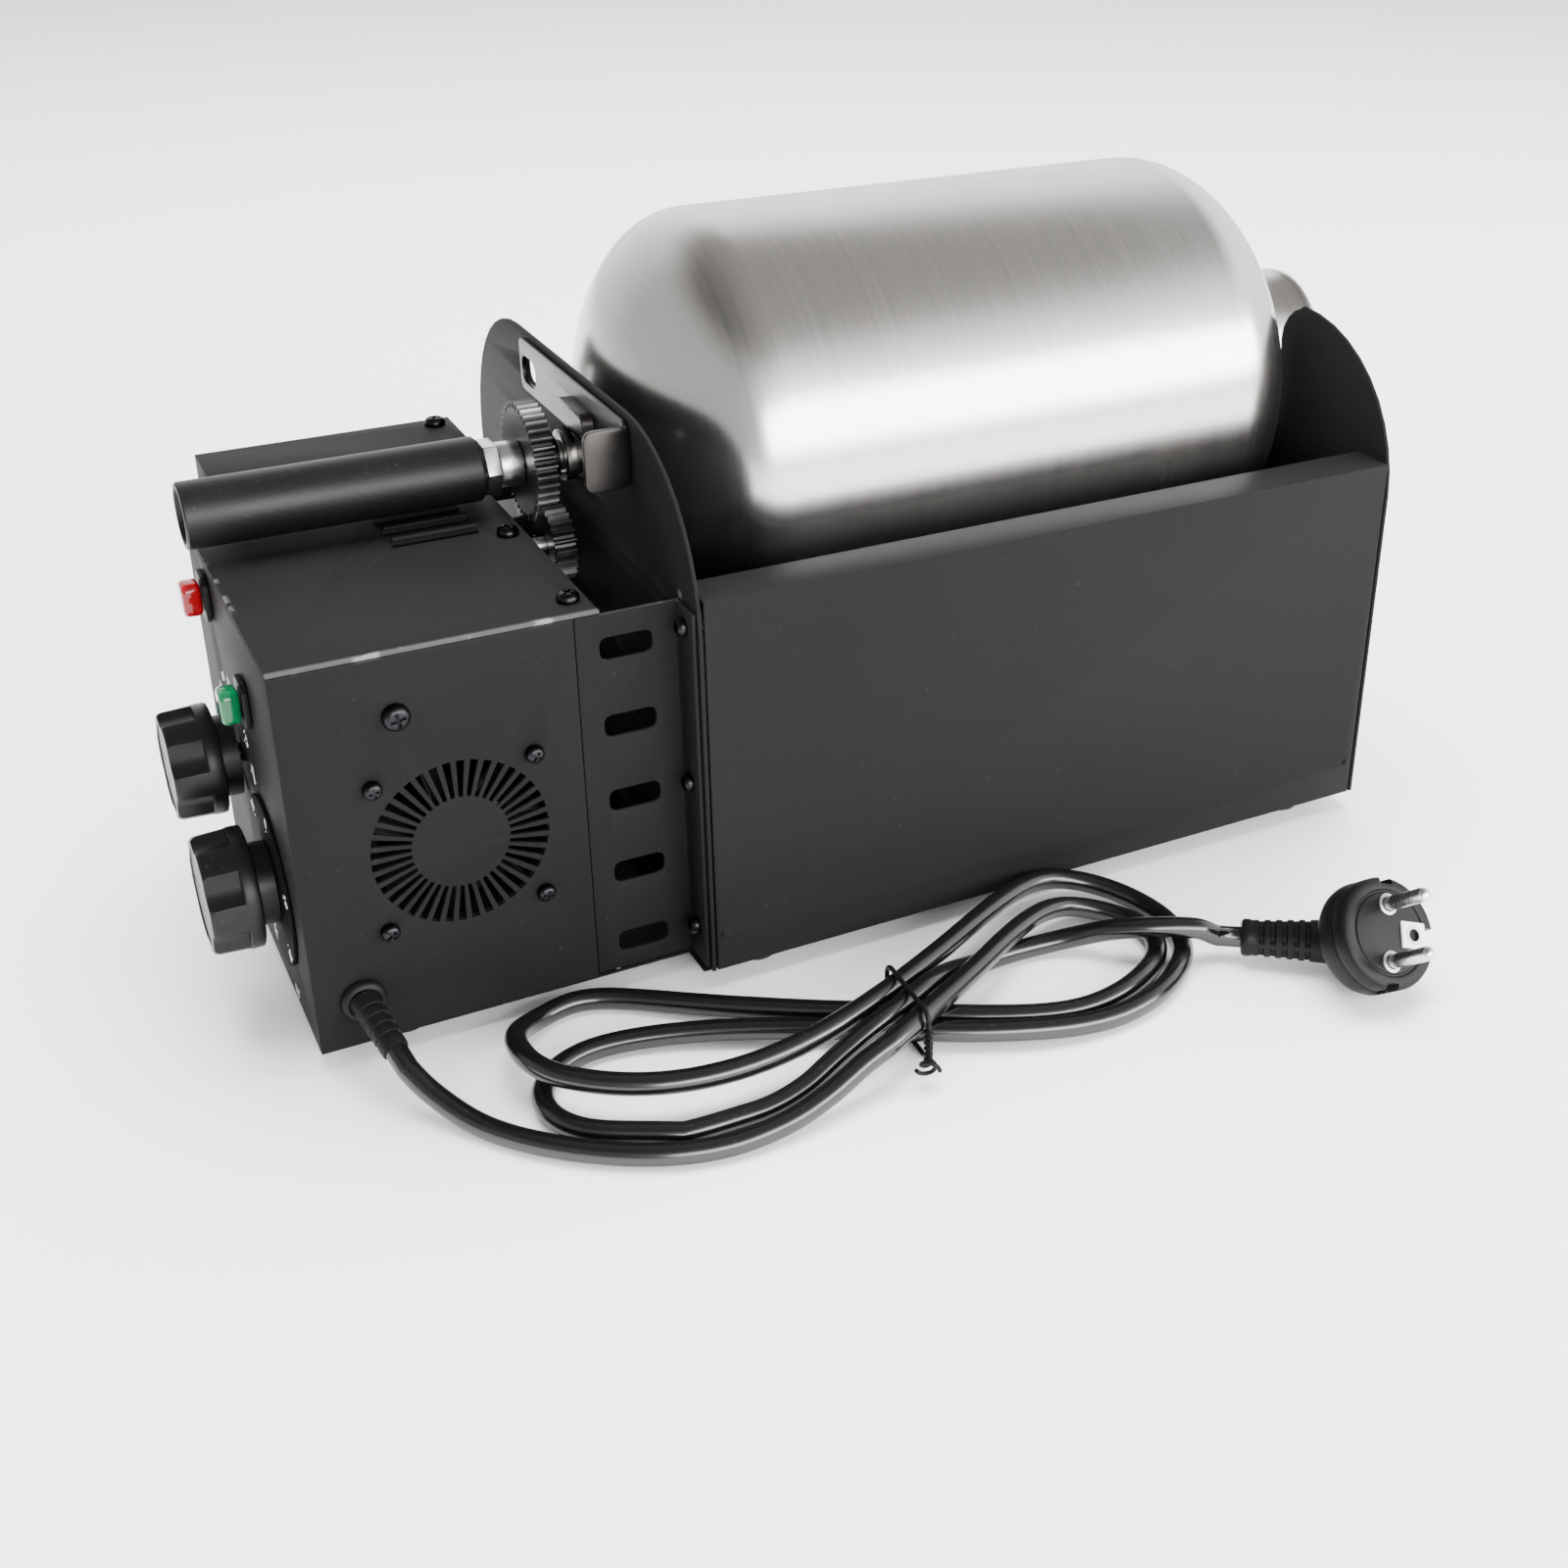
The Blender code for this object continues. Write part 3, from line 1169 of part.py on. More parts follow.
def build_neck_support(m):
    """The bracket outside the right end plate and two rollers that carry the drum's neck."""
    near = right_plate_x + plate_thickness + gap
    step = support_step_x
    path = [(near, support_bottom), (near, support_shelf), (step, support_shelf), (step, support_top)]
    outline = thick_path(path, -support_sheet)
    bm = bmesh.new()
    add_flat(bm, [outline], axis_y - support_half_width, axis_y + support_half_width, "XZ")
    bracket = finish_mesh("neck_support", bm, m["bright_steel"])
    tool = bmesh.new()
    add_cylinder(tool, (step - 2 * overrun, axis_y, axis_z), (step + 2 * overrun, axis_y, axis_z),
                 support_notch_radius, segments=40)
    pins = []
    for side in (-1, 1):
        y = axis_y + side * roller_distance * math.sin(roller_angle)
        z = axis_z - roller_distance * math.cos(roller_angle)
        pins.append((y, z))
        add_cylinder(tool, (step - 2 * overrun, y, z), (step + 2 * overrun, y, z), roller_pin_radius + gap,
                     segments=12)
    cut(bracket, tool, "support_holes")
    seats = [(near + support_sheet - merge_distance, axis_y + side * support_screw_reach, support_screw_z)
             for side in (-1, 1)]
    join_screws(bracket, "support_screws", seats, (-1, 0, 0), pan_head_radius, pan_head_height,
                support_sheet + plate_thickness + sheet)
    for (y, z), end in zip(pins, ("front", "rear")):
        cylinder_piece("roller_pin_" + end, (step - support_sheet, y, z),
                       (roller_x + roller_length + 2 * sheet, y, z), roller_pin_radius, m["bright_steel"],
                       segments=12)
        centre = Vector((roller_x, y, z))
        bore = roller_pin_radius + gap
        profile = [(roller_radius, roller_length), (roller_radius, 0), (bore, 0), (bore, roller_length)]
        turned("neck_roller_" + end, profile, m["brass"], centre, steps=24)


def gland_direction():
    """The way the lead leaves the box: forwards, tipped down and a little towards the drum."""
    down = math.sin(gland_tilt)
    ahead = math.cos(gland_tilt)
    return Vector((ahead * math.sin(gland_turn), -ahead * math.cos(gland_turn), -down))


def build_gland(m):
    """The round bushing in the box's front and the tapered sleeve on the lead."""
    start = Vector((gland_x, -gap, gland_z))
    front = Vector((gland_x, -gap - gland_flange_thickness, gland_z))
    bm = bmesh.new()
    add_cylinder(bm, start, front, gland_flange_radius, gland_flange_radius * gland_rim_share, segments=24)
    gland = finish_mesh("cord_gland", bm, m["rubber_black"], smooth=True)
    sleeve = bmesh.new()
    way = gland_direction()
    tip = front + way * gland_tail_length
    add_cylinder(sleeve, front + Vector((0, gland_flange_thickness / 2, 0)), tip, gland_tail_radius,
                 cord_radius + 2 * gap, segments=16)
    inner = gland_flange_radius - gland_flange_thickness / 2 - gap
    add_cylinder(sleeve, (gland_x, -gap - gland_flange_thickness / 3, gland_z), (gland_x, sheet + gap, gland_z),
                 inner, segments=16)
    cut(gland, sleeve, "gland_sleeve", "UNION")
    return tip


def ease(share):
    share = min(max(share, 0), 1)
    return share * share * (3 - 2 * share)


def hank_level(turn):
    """The middle of the lead over its place on the floor."""
    over_tie = 2 * tie_radius + gap
    levels = (0, over_tie, over_tie + 2 * cord_radius + hank_layer_gap)
    for (start, before), (end, after) in zip(hank_level_shares, hank_level_shares[1:]):
        if turn <= end:
            part = ease((turn - start) / (end - start))
            return levels[before] + (levels[after] - levels[before]) * part
    return levels[after]


def hank_point(turn):
    """A point of the figure-eight hank, whose waist it passes at each whole turn.

    The passes at even turns run up to the right and lie on top, those at odd turns run back beneath them.
    """
    loop = min(int(turn), len(hank_reaches) - 1)
    share = turn - loop
    swing = ease(min(share, 1 - share) / hank_turn_share)
    side = 1 if loop % 2 == 0 else -1
    width = hank_waist_width + (hank_widths[loop] - hank_waist_width) * swing
    offset = hank_pass_offsets[loop] + (hank_pass_offsets[loop + 1] - hank_pass_offsets[loop]) * ease(share)
    along = side * hank_reaches[loop] * math.sin(math.pi * share)
    across = width / 2 * math.sin(2 * math.pi * share) + offset
    angle = hank_angle + hank_loop_angles[loop] * swing
    return Vector((hank_x + along * math.cos(angle) - across * math.sin(angle),
                   hank_y + along * math.sin(angle) + across * math.cos(angle), cord_low_z + hank_level(turn)))


def even_points(points, count):
    """Points evenly spaced along a run of closer ones."""
    lengths = [0.0]
    for a, b in zip(points, points[1:]):
        lengths.append(lengths[-1] + (b - a).length)
    wanted = [lengths[-1] * i / count for i in range(count + 1)]
    axes = [np.interp(wanted, lengths, [p[k] for p in points]) for k in range(3)]
    return [Vector(p) for p in zip(*axes)]


def hank_points():
    """The hank from where the lead enters it to where it leaves for the plug, both ends straight."""
    count = round(hank_turns * hank_points_per_loop)
    fine = 10 * count
    points = even_points([hank_point(hank_turns * i / fine) for i in range(fine + 1)], count)
    start = points[0] - (points[1] - points[0]).normalized() * hank_end_length
    end = points[-1] + (points[-1] - points[-2]).normalized() * hank_end_length
    return [start, *points, end]


def hank_self_gap(points):
    """The least gap between two stretches of the hank that are not neighbours along it."""
    skip = hank_points_per_loop // 6
    fine = []
    for a, b in zip(points, points[1:]):
        fine += [a.lerp(b, i / 6) for i in range(6)]
    array = np.array([tuple(p) for p in fine])
    least = math.inf
    for i in range(len(array)):
        later = array[i + 6 * skip:]
        if len(later):
            least = min(least, float(np.linalg.norm(later - array[i], axis=1).min()))
    return least - 2 * cord_radius


def build_cord(m, gland_tip):
    """The lead: a short way to the hank, the hank itself, and the way on to the plug."""
    hank = hank_points()
    tube("cord_hank", hank, cord_radius, m["cord_black"], resolution=1)
    start_way = (hank[1] - hank[0]).normalized()
    end_way = (hank[-1] - hank[-2]).normalized()
    way = gland_direction()
    reach = 2 * cord_radius
    lead = [gland_tip + way * gap, gland_tip + way * (gap + reach)]
    lead += [Vector((x, y, cord_low_z + rise)) for x, y, rise in lead_route]
    lead += [hank[0] - start_way * (gap + reach), hank[0] - start_way * gap]
    spacing = 2 * 2 * cord_radius
    lead_points = smooth_path(lead, spacing)
    tube("cord_lead", lead_points, cord_radius, m["cord_black"])
    sleeve_start, sleeve_end = plug_sleeve()
    sleeve_way = (sleeve_end - sleeve_start).normalized()
    tail = [hank[-1] + end_way * gap, hank[-1] + end_way * (gap + reach)]
    tail += [Vector((x, y, cord_low_z + rise)) for x, y, rise in tail_route]
    tail += [sleeve_start - sleeve_way * (gap + reach), sleeve_start - sleeve_way * gap]
    tail_points = smooth_path(tail, spacing)
    tube("cord_tail", tail_points, cord_radius, m["cord_black"])
    total = path_length(lead_points) + path_length(hank) + path_length(tail_points)
    print("cord length", round(total, 4), "hank self gap", round(hank_self_gap(hank), 5))
    build_tie(m)


def build_tie(m):
    """The wire tie: one closed loop of wire round the hank's waist."""
    half = max(hank_pass_offsets) + cord_radius * tie_slant_share + tie_side_gap + tie_radius
    low = floor_z + tie_radius + gap / 3
    high = cord_low_z + hank_level(0) + cord_radius + gap + tie_radius
    corner = cord_radius
    outline = rounded_rectangle((-half, low), (half, high), corner, 4)
    along = Vector((math.cos(hank_angle), math.sin(hank_angle), 0))
    across = Vector((-along.y, along.x, 0))
    middle = Vector((hank_x, hank_y, 0))
    points = [middle + across * a + Vector((0, 0, z)) for a, z in outline]
    tube("cord_tie", points, tie_radius, m["plastic_black"], resolution=1, closed=True)


def plug_axes():
    """The plug's way out of its face, and its sideways and upward ways as it lies rolled over."""
    out = Vector((math.cos(plug_turn) * math.cos(plug_tilt), math.sin(plug_turn) * math.cos(plug_tilt),
                  math.sin(plug_tilt)))
    level = Vector((-math.sin(plug_turn), math.cos(plug_turn), 0))
    steep = out.cross(level)
    side = level * math.cos(plug_roll) - steep * math.sin(plug_roll)
    return out, side, out.cross(side)


def plug_centre():
    """The middle of the plug's round body, resting on the floor by its lower edge."""
    half = plug_thickness / 2
    rise = plug_radius * math.cos(plug_tilt) + half * math.sin(plug_tilt) + gap / 3
    return Vector((plug_x, plug_y, floor_z + rise))


def plug_sleeve():
    """The two ends of the plug's sleeve, which lies low over the floor and runs into the back of the body."""
    start = Vector((plug_sleeve_x, plug_sleeve_y, floor_z + plug_sleeve_radius + 2 * gap))
    flat = Vector((math.cos(plug_sleeve_turn), math.sin(plug_sleeve_turn), 0))
    return start, start + flat * plug_sleeve_length + Vector((0, 0, plug_sleeve_rise))


def build_plug(m):
    """The moulded mains plug: a round body with a sloping sleeve, two pins and an earth insert."""
    out, side, up = plug_axes()
    centre = plug_centre()
    face = centre + out * plug_thickness / 2
    back = centre - out * plug_thickness / 2
    bm = bmesh.new()
    add_cylinder(bm, back, face, plug_radius, segments=36)
    body = finish_mesh("plug_body", bm, m["plastic_black"], smooth=True)
    extra = bmesh.new()
    add_cylinder(extra, back - out * plug_back_length, back + out * plug_thickness / 4, plug_back_radius,
                 plug_radius * plug_cone_share, segments=28)
    cut(body, extra, "plug_cone", "UNION")
    sleeve = bmesh.new()
    start, end = plug_sleeve()
    add_cylinder(sleeve, start, end, plug_sleeve_end_radius, plug_sleeve_radius, segments=20)
    cut(body, sleeve, "plug_sleeve", "UNION")
    for sign, name in ((-1, "plug_pin_lower"), (1, "plug_pin_upper")):
        base = face + up * sign * plug_pin_pitch / 2 + out * gap
        cylinder_piece(name, base, base + out * plug_pin_length, plug_pin_radius, m["bright_steel"], segments=16)
    insert = bmesh.new()
    add_box(insert, (-plug_insert_width / 2, -plug_insert_height / 2, 0),
            (plug_insert_width / 2, plug_insert_height / 2, plug_insert_depth))
    turn = Matrix((side, up, out)).transposed().to_4x4()
    place = Matrix.Translation(face + side * plug_insert_shift + out * gap) @ turn
    bmesh.ops.transform(insert, matrix=place, verts=insert.verts)
    finish_mesh("plug_earth_insert", insert, m["insert_white"])


def build_inner_parts(m):
    """What the box holds besides the motor, the fan and the controls."""
    box_piece("terminal_block", (terminal_x, housing_back - sheet - gap - terminal_depth, terminal_z),
              (terminal_x + terminal_length, housing_back - sheet - gap, terminal_z + terminal_height),
              m["insert_white"])
    cylinder_piece("thermostat_bulb", (left_plate_x + plate_thickness + side_gap, bulb_y, bulb_z),
                   (left_plate_x + plate_thickness + side_gap + bulb_length, bulb_y, bulb_z), bulb_radius,
                   m["brass"], segments=12)


def main():
    start_scene()
    m = make_materials()
    centre = Vector((gear_start_x, axis_y, axis_z))
    build_base(m)
    build_box_shell(m)
    build_top_cover(m)
    build_housing(m)
    build_drive_wall(m)
    build_brackets(m)
    build_end_plates(m)
    build_panels(m)
    build_reflector_and_heaters(m)
    build_drum(m, centre)
    build_shaft_train(m, centre)
    build_gears(m, centre)
    build_motor(m)
    build_fan(m)
    build_controls(m)
    build_latch(m)
    build_neck_support(m)
    build_inner_parts(m)
    tip = build_gland(m)
    build_plug(m)
    build_cord(m, tip)


main()
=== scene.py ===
"""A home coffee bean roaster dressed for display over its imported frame."""
import json
import math

import bpy
from mathutils import Matrix, Vector


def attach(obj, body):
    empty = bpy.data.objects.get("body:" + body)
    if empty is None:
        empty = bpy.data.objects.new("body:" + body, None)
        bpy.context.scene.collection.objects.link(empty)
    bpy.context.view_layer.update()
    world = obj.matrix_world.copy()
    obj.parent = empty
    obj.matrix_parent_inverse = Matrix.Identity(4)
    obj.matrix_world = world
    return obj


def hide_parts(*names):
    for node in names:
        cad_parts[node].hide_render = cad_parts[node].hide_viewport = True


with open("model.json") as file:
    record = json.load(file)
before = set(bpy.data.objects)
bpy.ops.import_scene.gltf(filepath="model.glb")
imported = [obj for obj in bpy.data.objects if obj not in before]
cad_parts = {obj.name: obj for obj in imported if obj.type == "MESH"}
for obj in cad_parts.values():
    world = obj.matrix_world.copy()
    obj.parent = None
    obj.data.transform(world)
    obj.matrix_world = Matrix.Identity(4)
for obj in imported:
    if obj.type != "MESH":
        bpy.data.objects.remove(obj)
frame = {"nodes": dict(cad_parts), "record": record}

bl_info = {
    "name": "Coffee Roaster",
    "version": (1, 0, 0),
    "blender": (4, 5, 0),
    "location": "View3D > Sidebar > Roaster",
    "description": "Models the roaster's drum, knobs, plug and lead and finishes its sheet metal",
    "category": "Object",
}

# The bench's zero corner, at the control face, the box's front and the underside of its sheet
BENCH = Vector((-0.20145, -0.0970, 0.0065))
# The drum axis's bench Y and Z, and the floor's bench Z
AXIS = (0.0970, 0.1460)
FLOOR = -0.0065
BOX_TOP = 0.1313

# Distances from the drum axis between which the drum gear's tooth tips are painted lighter: rub wear and a painted
# highlight
TOOTH_MIDDLE, TOOTH_TIP = 0.0199, 0.0212

# The drum along the bench's X: its straight wall's ends, its mouth, and the depths of its two domes
WALL_START, WALL_END, MOUTH = 0.1770, 0.3525, 0.4260
LEFT_DOME, RIGHT_DOME = 0.0435, 0.0460
VANE_TURNS = (2 * math.pi / 3, 4 * math.pi / 3)

# The control face's knobs: node, body, bench Y and Z, radius
KNOBS = (("timer_knob", "timer", 0.0425, 0.0405, 0.0198),
         ("thermostat_knob", "thermostat", 0.0800, 0.0685, 0.0184))
KNOB_BASE = -0.0073
FLUTES, FLUTE_RADIUS, FLUTE_DEPTH, FLUTE_START = 6, 0.0080, 0.0030, 0.0050

# The numbers round the knobs: name, bench place, (text, degrees) marks, their reach, the dots' reach and the size
DIALS = (("timer_numbers", (-0.00134, 0.0425, 0.0405), [(str(10 * i), 15 + 61 * i) for i in range(6)],
          0.0250, 0.0218, 0.0052),
         ("thermostat_numbers", (-0.00004, 0.0800, 0.0685), [(str(25 * i), -135 + 27 * i) for i in range(11)],
          0.0252, 0.0212, 0.0044))

# Area lights: name, place, target, size, power, whether the steel mirrors it
LIGHTS = (("front_box", (0.70, -1.60, 0.62), (0.30, 0, 0.16), (3.2, 0.70), 105, True),
          ("left_box", (-1.5, 0.10, 1.10), (0, 0, 0.1), (0.7, 0.9), 13, False),
          ("top_box", (0.2, 0.5, 2.2), (0.05, 0.0, 0.0), (2.2, 1.8), 200, False),
          ("right_box", (1.7, -0.2, 0.7), (0.1, 0, 0.1), (0.7, 0.9), 18, False))

CAMERA_AT = (-0.27325, -0.61120, 0.38080)
CAMERA_TURN, CAMERA_TILT = math.radians(63.01), math.radians(-26.44)
CAMERA_LENS, CAMERA_SHIFT = 44.75, (-0.0528, -0.0663)


def at(x, y, z):
    """A bench place in the frame's own coordinates."""
    return BENCH + Vector((x, y, z))


def heading(turn, tilt=0.0):
    """The unit vector that is turned from X about Z and tilted up from level."""
    return Vector((math.cos(turn) * math.cos(tilt), math.sin(turn) * math.cos(tilt), math.sin(tilt)))


# ---------------------------------------------------------------- sizes and colours

class RoasterSizes(bpy.types.PropertyGroup):
    """Lengths that shape the dressed pieces."""
    drum_radius: bpy.props.FloatProperty(
        name="Drum radius", description="Outer radius of the drum", default=0.0780, unit="LENGTH")
    drum_wall: bpy.props.FloatProperty(
        name="Drum wall", description="Thickness of the drum's sheet", default=0.0012, unit="LENGTH")
    drum_segments: bpy.props.IntProperty(
        name="Drum segments", description="Faces round the drum", default=144)
    neck_radius: bpy.props.FloatProperty(
        name="Neck radius", description="Outer radius of the drum's open neck", default=0.0270, unit="LENGTH")
    handle_radius: bpy.props.FloatProperty(
        name="Handle radius", description="Outer radius of the lifting handle", default=0.0110, unit="LENGTH")
    handle_length: bpy.props.FloatProperty(
        name="Handle length", description="Length of the lifting handle", default=0.0976, unit="LENGTH")
    cord_radius: bpy.props.FloatProperty(
        name="Lead radius", description="Half the mains lead's diameter", default=0.0036, unit="LENGTH")
    tie_radius: bpy.props.FloatProperty(
        name="Tie radius", description="Half the wire tie's thickness", default=0.0008, unit="LENGTH")
    knob_depth: bpy.props.FloatProperty(
        name="Knob depth", description="How far a knob stands out of its collar", default=0.0158, unit="LENGTH")
    plug_radius: bpy.props.FloatProperty(
        name="Plug radius", description="Radius of the plug's round body", default=0.0187, unit="LENGTH")
    sheet_bevel: bpy.props.FloatProperty(
        name="Sheet edge", description="Rounding of the sheet metal's edges", default=0.0003, unit="LENGTH")


class RoasterColours(bpy.types.PropertyGroup):
    """Colours of the finishes."""
    powder: bpy.props.FloatVectorProperty(
        name="Powder coat", description="Black coat of the sheet metal",
        subtype="COLOR", default=(0.0088, 0.0089, 0.0096))
    drum: bpy.props.FloatVectorProperty(
        name="Drum steel", description="Brushed steel of the drum",
        subtype="COLOR", default=(0.640, 0.618, 0.592))
    steel: bpy.props.FloatVectorProperty(
        name="Bright steel", description="Bright steel of small parts",
        subtype="COLOR", default=(0.700, 0.695, 0.680))
    moulding: bpy.props.FloatVectorProperty(
        name="Black moulding", description="Knobs and the plug",
        subtype="COLOR", default=(0.0035, 0.0035, 0.0038))
    sheath: bpy.props.FloatVectorProperty(
        name="Lead sheath", description="Glossy sheath of the lead",
        subtype="COLOR", default=(0.0030, 0.0030, 0.0034))
    red: bpy.props.FloatVectorProperty(
        name="Red lens", description="The heat lamp's lens",
        subtype="COLOR", default=(0.250, 0.002, 0.006))
    green: bpy.props.FloatVectorProperty(
        name="Green lens", description="The power lamp's lens",
        subtype="COLOR", default=(0.001, 0.110, 0.038))
    floor: bpy.props.FloatVectorProperty(
        name="Floor", description="The pale floor under the roaster",
        subtype="COLOR", default=(0.90, 0.90, 0.90))


def sizes():
    return bpy.context.scene.roaster_sizes


def colours():
    return bpy.context.scene.roaster_colours


# ---------------------------------------------------------------- shader maths

class Wire:
    """A shader socket that takes part in sums."""

    def __init__(self, paint, socket):
        self.paint = paint
        self.socket = socket

    def _maths(self, operation, *values):
        return self.paint.node("ShaderNodeMath", {"operation": operation}, values)

    def __add__(self, other):
        return self._maths("ADD", self, other)

    __radd__ = __add__

    def __sub__(self, other):
        return self._maths("SUBTRACT", self, other)

    def __rsub__(self, other):
        return self._maths("SUBTRACT", other, self)

    def __mul__(self, other):
        return self._maths("MULTIPLY", self, other)

    def __truediv__(self, other):
        return self._maths("DIVIDE", self, other)

    def __pow__(self, other):
        return self._maths("POWER", self, other)

    def clamp(self):
        return self.paint.node("ShaderNodeClamp", {}, (self, 0.0, 1.0))

    def above(self, edge, softness):
        """0 below the edge, 1 above it, with a soft step between."""
        return ((self - (edge - softness)) / (2 * softness)).clamp()

    def distance(self, place):
        return self._maths("ABSOLUTE", self - place)


class Paint:
    """A material under construction."""

    def __init__(self, name, colour, roughness, metallic=0.0):
        self.material = bpy.data.materials.new(name)
        self.material.use_nodes = True
        self.tree = self.material.node_tree
        self.shader = self.tree.nodes["Principled BSDF"]
        self.shader.inputs["Base Color"].default_value = (*colour, 1.0)
        self.shader.inputs["Roughness"].default_value = roughness
        self.shader.inputs["Metallic"].default_value = metallic
        self.material.diffuse_color = (*colour, 1.0)

    def node(self, kind, settings, values=(), output=0):
        made = self.tree.nodes.new(kind)
        for key, value in settings.items():
            setattr(made, key, value)
        pairs = values.items() if isinstance(values, dict) else enumerate(values)
        for key, value in pairs:
            if isinstance(value, Wire):
                self.tree.links.new(value.socket, made.inputs[key])
            else:
                made.inputs[key].default_value = value
        return Wire(self, made.outputs[output])

    def place(self):
        """Object coordinates."""
        return self.node("ShaderNodeTexCoord", {}, output="Object")

    def stretched(self, scale):
        return self.node("ShaderNodeMapping", {}, {"Vector": self.place(), "Scale": scale})

    def axes(self):
        split = self.tree.nodes.new("ShaderNodeSeparateXYZ")
        self.tree.links.new(self.place().socket, split.inputs[0])
        return [Wire(self, split.outputs[i]) for i in range(3)]

    def noise(self, scale, vector=None, detail=3.0, roughness=0.55):
        return self.node("ShaderNodeTexNoise", {}, {"Vector": vector or self.place(), "Scale": scale,
                                                    "Detail": detail, "Roughness": roughness})

    def mix(self, share, first, second):
        """A colour mix."""
        values = {"Factor": share, 6: first if isinstance(first, Wire) else (*first, 1.0),
                  7: second if isinstance(second, Wire) else (*second, 1.0)}
        return self.node("ShaderNodeMix", {"data_type": "RGBA"}, values, output=2)

    def tones(self, share, base, low, high):
        """One colour from a darker to a lighter tone of itself."""
        return self.mix(share, *(tuple(min(1.0, c * gain) for c in base) for gain in (low, high)))

    def feed(self, socket, wire):
        self.tree.links.new(wire.socket, self.shader.inputs[socket])

    def bump(self, height, strength, distance):
        normal = self.node("ShaderNodeBump", {}, {"Strength": strength, "Distance": distance, "Height": height})
        self.feed("Normal", normal)

    def set(self, **values):
        for key, value in values.items():
            self.shader.inputs[key.replace("_", " ")].default_value = value


def powder_coat(name="powder_coat", gain=1.0, roughness=0.52):
    """Fine matt powder coat, a little dusty and nicked bare along the box's top edges, with a painted highlight as a
    lighter line all along the front top edge.
    """
    base = tuple(c * gain for c in colours().powder)
    paint = Paint(name, base, roughness)
    cloud = paint.noise(9.0, detail=5.0)
    grain = paint.noise(1900.0, detail=2.0)
    speck = paint.noise(420.0, detail=1.0).above(0.775, 0.012)
    x, y, z = paint.axes()
    left, front, top = at(0, 0, BOX_TOP)
    rim = 1 - z.distance(top).above(0.0012, 0.0006)
    edge = rim * (1 - y.distance(front).above(0.0014, 0.0008))
    side = rim * (1 - x.distance(left).above(0.0012, 0.0006))
    nick = paint.noise(90.0, detail=4.0).above(0.62, 0.03)
    # Nicks are wear; the 0.30 share all along the front top edge is a painted highlight, not wear.
    wear_and_highlight = (edge * (0.30 + nick * 0.70) + side * nick * 0.35).clamp()
    tone = paint.tones(cloud, base, 0.90, 1.14)
    dusty = paint.mix(speck * 0.16, tone, (0.050, 0.050, 0.052))
    # The pale grey stands for bare metal at the nicks and for the painted highlight along the front edge.
    paint.feed("Base Color", paint.mix(wear_and_highlight * 0.50, dusty, (0.32, 0.32, 0.32)))
    paint.feed("Roughness", (roughness - 0.08) + cloud * 0.16 + grain * 0.05)
    paint.bump(grain, 0.22, 0.00025)
    paint.set(Specular_IOR_Level=0.035)
    return paint.material


def drum_steel():
    """Stainless steel brushed round the drum, with a faint heat tint, smears and rubbed rings."""
    base = colours().drum
    paint = Paint("drum_steel", base, 0.27, 1.0)
    fine = paint.noise(1.0, paint.stretched((2600.0, 26.0, 26.0)), detail=3.0, roughness=0.65)
    ring = paint.noise(1.0, paint.stretched((520.0, 5.0, 5.0)), detail=4.0, roughness=0.6)
    smear = paint.noise(1.0, paint.stretched((18.0, 24.0, 24.0)), detail=4.0, roughness=0.6)
    broad = paint.noise(1.0, paint.stretched((26.0, 4.0, 4.0)), detail=2.0)
    tone = paint.tones((ring * 0.55 + fine * 0.45).clamp(), base, 0.86, 1.10)
    warm = paint.mix(smear.above(0.60, 0.20) * 0.35, tone, (0.520, 0.480, 0.430))
    paint.feed("Base Color", warm)
    paint.feed("Roughness", 0.15 + ring * 0.07 + smear * 0.08 + broad * 0.05)
    paint.bump(fine * 0.4 + ring * 0.4 + broad * 0.3, 0.10, 0.0004)
    return paint.material


def bright_steel(name="bright_steel", colour=None, roughness=0.24):
    """Plated steel with drawn lines and small scratches."""
    base = tuple(colour or colours().steel)
    paint = Paint(name, base, roughness, 1.0)
    lines = paint.noise(1.0, paint.stretched((60.0, 900.0, 900.0)), detail=3.0)
    cloud = paint.noise(70.0, detail=4.0)
    paint.feed("Base Color", paint.tones(cloud, base, 0.72, 1.12))
    paint.feed("Roughness", roughness - 0.07 + lines * 0.10 + cloud * 0.12)
    paint.bump(lines + cloud * 0.5, 0.10, 0.0003)
    return paint.material


def gear_steel():
    """Dark oiled steel whose tooth tips are painted lighter, as rub wear and as a painted highlight."""
    paint = Paint("gear_steel", (0.055, 0.055, 0.058), 0.32, 1.0)
    y, z = paint.axes()[1:]
    dy = y - at(0, AXIS[0], 0).y
    dz = z - at(0, 0, AXIS[1]).z
    radius = (dy * dy + dz * dz) ** 0.5
    # tip is the band of tooth tips painted lighter: a painted highlight as well as rub wear.
    tip = radius.above(TOOTH_MIDDLE, 0.0005) * (1 - radius.above(TOOTH_TIP, 0.0003))
    oil = paint.noise(160.0, detail=4.0)
    dark = paint.mix(oil, (0.030, 0.030, 0.033), (0.105, 0.103, 0.100))
    paint.feed("Base Color", paint.mix((tip * (0.25 + oil * 0.9)).clamp(), dark, (0.420, 0.410, 0.395)))
    paint.feed("Roughness", 0.26 + oil * 0.22)
    paint.bump(paint.noise(900.0), 0.12, 0.0002)
    return paint.material


